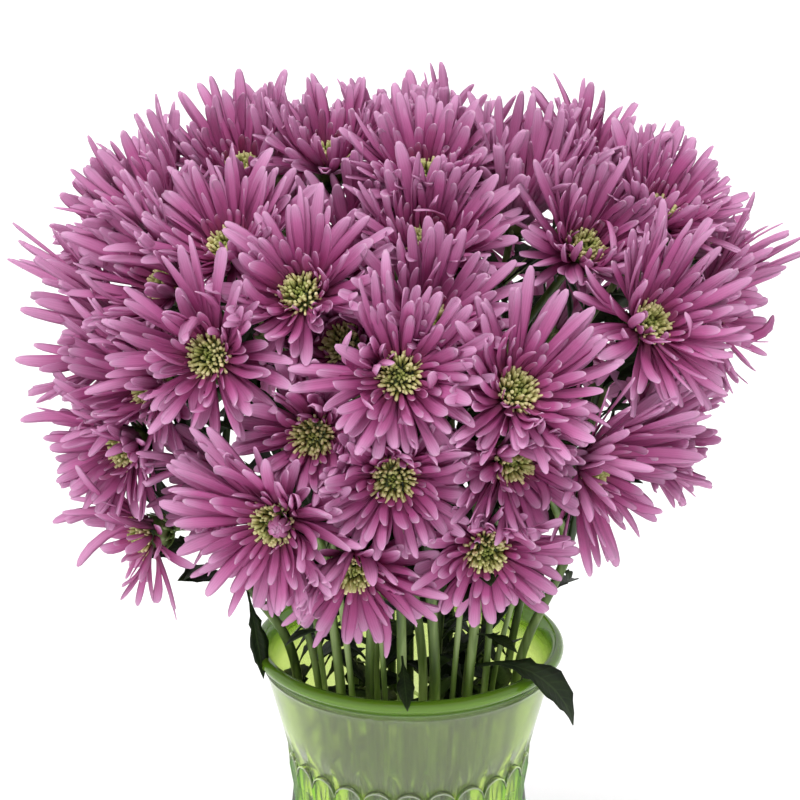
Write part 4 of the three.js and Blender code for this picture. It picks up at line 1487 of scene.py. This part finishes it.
class GreenerySettings(bpy.types.PropertyGroup):
    """Sizes and colours of the discs, stems and leaves."""

    seed: a_count("Seed", "Starts the random numbers that vary the florets and leaves", 3)
    florets: a_count("Florets", "Number of florets on a disc", 100, min=20, max=300)
    floret_colour: a_colour("Floret Colour", "Colour of an open floret", (0.64, 0.60, 0.20))
    stem_colour: a_colour("Stem Colour", "Colour of the stems", (0.12, 0.19, 0.04))
    leaf_colour: a_colour("Leaf Colour", "Colour of the leaves", (0.018, 0.036, 0.006))


class GlassSettings(bpy.types.PropertyGroup):
    """Colour of the vase's glass."""

    glass_colour: a_colour(
        "Glass Colour", "Colour of light that has passed through thick glass", (0.80, 0.92, 0.07))
    glass_density: a_number(
        "Glass Density", "How fast the glass takes up light, per metre", 220.0, min=0, max=1000)
    cut_colour: a_colour("Cut Colour", "Colour of the glass at the top of each lozenge", (0.36, 0.72, 0.12))
    milk_colour: a_colour("Milk Colour", "Colour of the glass where it is milky", (0.19, 0.37, 0.025))


class StageSettings(bpy.types.PropertyGroup):
    """Camera, light and floor."""

    distance: a_number(
        "Camera Distance", "From the camera to the point that it looks at", 1.25, min=0.3, max=5, **LENGTH)
    elevation: a_number(
        "Camera Elevation", "How far the camera looks down", math.radians(19.5),
        subtype="ANGLE", unit="ROTATION")
    focal_length: a_number(
        "Focal Length", "Focal length in millimetres for a 36 mm sensor", 130.8, min=20, max=300)
    world_strength: a_number(
        "Sky Strength", "Strength of the even white light all round", 0.95, min=0, max=5)
    sun_strength: a_number("Lamp Strength", "Strength of the soft lamp high in front", 1.6, min=0, max=20)


# Operators


def numbered(word, number):
    return f"{word}_{number:02d}"


class FLOWERS_OT_vase(bpy.types.Operator):
    """Makes the pressed glass vase and its water"""

    bl_idname = "flowers.vase"
    bl_label = "Vase and Water"

    def execute(self, context):
        settings = context.scene.glass_settings
        dress(make_vase(glass_material(settings)), ["vase"])
        dress(make_water(water_material()), ["water"])
        return {"FINISHED"}


class FLOWERS_OT_stems(bpy.types.Operator):
    """Makes each spray's stem, twigs, cups and bracts"""

    bl_idname = "flowers.stems"
    bl_label = "Stems and Cups"

    def execute(self, context):
        settings = context.scene.greenery_settings
        material = stem_material(settings)
        bars, blades = ribbed_bar_tree(), blade_tree()
        forms = blade_forms("bract_form")
        rng = np.random.default_rng(settings.seed)
        for number in range(1, len(STEMS) + 1):
            piece = lines_object(numbered("stem", number), spray_lines(number))
            finished_mesh(piece, bars, {"Material": material})
            keep_attributes(piece, ())
            dress(piece, [numbered("spray", number)])
            seats = [s for b in BLOOM_LIST if b.stem == number for s in bract_seats(b, rng)]
            bracts = make_blades(numbered("bracts", number), seats, blades, forms, material)
            dress(bracts, [numbered("spray", number)])
        side_lines = [(smooth_line(stem_points(row), 12), [row[5]] * 25) for row in SIDE_STEMS]
        piece = lines_object("side_stems", side_lines)
        finished_mesh(piece, bars, {"Material": material})
        keep_attributes(piece, ())
        dress(piece, [])
        drop_forms(forms)
        return {"FINISHED"}


class FLOWERS_OT_leaves(bpy.types.Operator):
    """Makes the leaves of each spray, and those of the side stems"""

    bl_idname = "flowers.leaves"
    bl_label = "Leaves"

    def execute(self, context):
        settings = context.scene.greenery_settings
        material = leaf_material(settings)
        tree, forms = blade_tree(), blade_forms("leaf_form")
        rng = np.random.default_rng(settings.seed)
        for number, row in enumerate(STEMS, 1):
            seats = [leaf_seat(leaf, rng.uniform(0.2, 0.6)) for leaf in LEAVES if leaf[0] == number]
            seats += foliage_seats(row, rng)
            seats += bloom_leaf_seats([b for b in BLOOM_LIST if b.stem == number], rng)
            piece = make_blades(numbered("leaves", number), seats, tree, forms, material)
            dress(piece, [numbered("spray", number)])
        seats = [seat for row in SIDE_STEMS for seat in foliage_seats(row, rng)]
        dress(make_blades("side_leaves", seats, tree, forms, material), [])
        drop_forms(forms)
        return {"FINISHED"}


class FLOWERS_OT_discs(bpy.types.Operator):
    """Makes the yellow-green disc of each bloom"""

    bl_idname = "flowers.discs"
    bl_label = "Discs"

    def execute(self, context):
        settings = context.scene.greenery_settings
        material = disc_material(settings)
        tree = floret_tree()
        bud = floret_mesh("bud", (0.7, 1.0, 0.5), (0, 0.6, 1), 5)
        floret = floret_mesh("floret", (0.7, 0.85, 1.0, 0.5), (0, 0.6, 0.97, 1), 5)
        forms = forms_collection("floret_form", [bud, floret])
        for number in range(1, len(STEMS) + 1):
            seats = [s for b in BLOOM_LIST if b.stem == number for s in disc_seats(b, settings)]
            piece = make_florets(numbered("discs", number), seats, tree, forms, material)
            dress(piece, [numbered("spray", number)])
        drop_forms(forms)
        return {"FINISHED"}


class FLOWERS_OT_petals(bpy.types.Operator):
    """Makes the petals of each bloom"""

    bl_idname = "flowers.petals"
    bl_label = "Petals"

    def execute(self, context):
        settings = context.scene.petal_settings
        material = petal_material(settings)
        tree = blade_tree()
        forms = blade_forms("petal_form")
        for bloom in BLOOM_LIST:
            seats = petal_seats(bloom, settings)
            piece = make_blades(numbered("petals", bloom.number), seats, tree, forms, material)
            dress(piece, [numbered("bloom", bloom.number)])
        drop_forms(forms)
        return {"FINISHED"}


class FLOWERS_OT_stage(bpy.types.Operator):
    """Makes the camera, the soft light and the floor"""

    bl_idname = "flowers.stage"
    bl_label = "Stage"

    def execute(self, context):
        settings = context.scene.stage_settings
        make_camera(settings)
        make_floor()
        make_light(settings)
        return {"FINISHED"}


CAMERA_TARGET = (-3.988, 0.0, 304.229)
LAMP_TURN = -25
LAMP_LIFT = 66


def make_camera(settings):
    """The camera at the photograph's viewing angle."""
    data = bpy.data.cameras.new("camera")
    data.lens = settings.focal_length
    data.sensor_width = 36.0
    camera = bpy.data.objects.new("camera", data)
    target = np.array(CAMERA_TARGET) * MM
    back = direction(0, math.degrees(settings.elevation))
    camera.location = target + back * settings.distance
    camera.rotation_euler = (math.pi / 2 - settings.elevation, 0, 0)
    bpy.context.scene.collection.objects.link(camera)
    bpy.context.scene.camera = camera


def make_floor():
    """A wide plain pale floor."""
    reach = 30000
    corners = [(-reach, -reach, 0), (reach, -reach, 0), (reach, reach, 0), (-reach, reach, 0)]
    floor = mesh_object("floor", corners, [(0, 1, 2, 3)], smooth=False)
    finish = Finish("pale_floor")
    finish.set(Base_Color=PALE_FLOOR, Roughness=0.9, Specular_IOR_Level=0.1)
    floor.data.materials.append(finish.material)


def make_light(settings):
    """Even white light all round, and a soft lamp high up on the left of the front."""
    scene = bpy.context.scene
    scene.view_settings.view_transform = "Standard"
    world = bpy.data.worlds.new("white_room")
    world.use_nodes = True
    background = world.node_tree.nodes["Background"]
    background.inputs["Color"].default_value = (1, 1, 1, 1)
    background.inputs["Strength"].default_value = settings.world_strength
    scene.world = world
    data = bpy.data.lights.new("soft_sun", "SUN")
    data.energy = settings.sun_strength
    data.angle = math.radians(35)
    lamp = bpy.data.objects.new("soft_sun", data)
    lamp.location = direction(LAMP_TURN, LAMP_LIFT) * 2
    lamp.rotation_euler = (math.pi / 2 - math.radians(LAMP_LIFT), 0, math.radians(LAMP_TURN))
    scene.collection.objects.link(lamp)


class FLOWERS_PT_panel(bpy.types.Panel):
    """Lists the steps that make the vase of flowers"""

    bl_idname = "FLOWERS_PT_panel"
    bl_label = "Vase of Chrysanthemums"
    bl_space_type = "VIEW_3D"
    bl_region_type = "UI"
    bl_category = "Flowers"

    def draw(self, context):
        for name in STEPS:
            self.layout.operator(f"flowers.{name}")


STEPS = ("stage", "vase", "stems", "leaves", "discs", "petals")

SETTINGS = {
    "petal_settings": PetalSettings,
    "greenery_settings": GreenerySettings,
    "glass_settings": GlassSettings,
    "stage_settings": StageSettings,
}

CLASSES = (
    FLOWERS_OT_stage, FLOWERS_OT_vase, FLOWERS_OT_stems, FLOWERS_OT_leaves, FLOWERS_OT_discs,
    FLOWERS_OT_petals, FLOWERS_PT_panel,
)


def register():
    for name, group in SETTINGS.items():
        bpy.utils.register_class(group)
        setattr(bpy.types.Scene, name, bpy.props.PointerProperty(type=group))
    for cls in CLASSES:
        bpy.utils.register_class(cls)


def unregister():
    for cls in reversed(CLASSES):
        bpy.utils.unregister_class(cls)
    for name, group in SETTINGS.items():
        delattr(bpy.types.Scene, name)
        bpy.utils.unregister_class(group)


def main():
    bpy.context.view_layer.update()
    register()
    for name in STEPS:
        getattr(bpy.ops.flowers, name)()


if __name__ == "__main__":
    main()
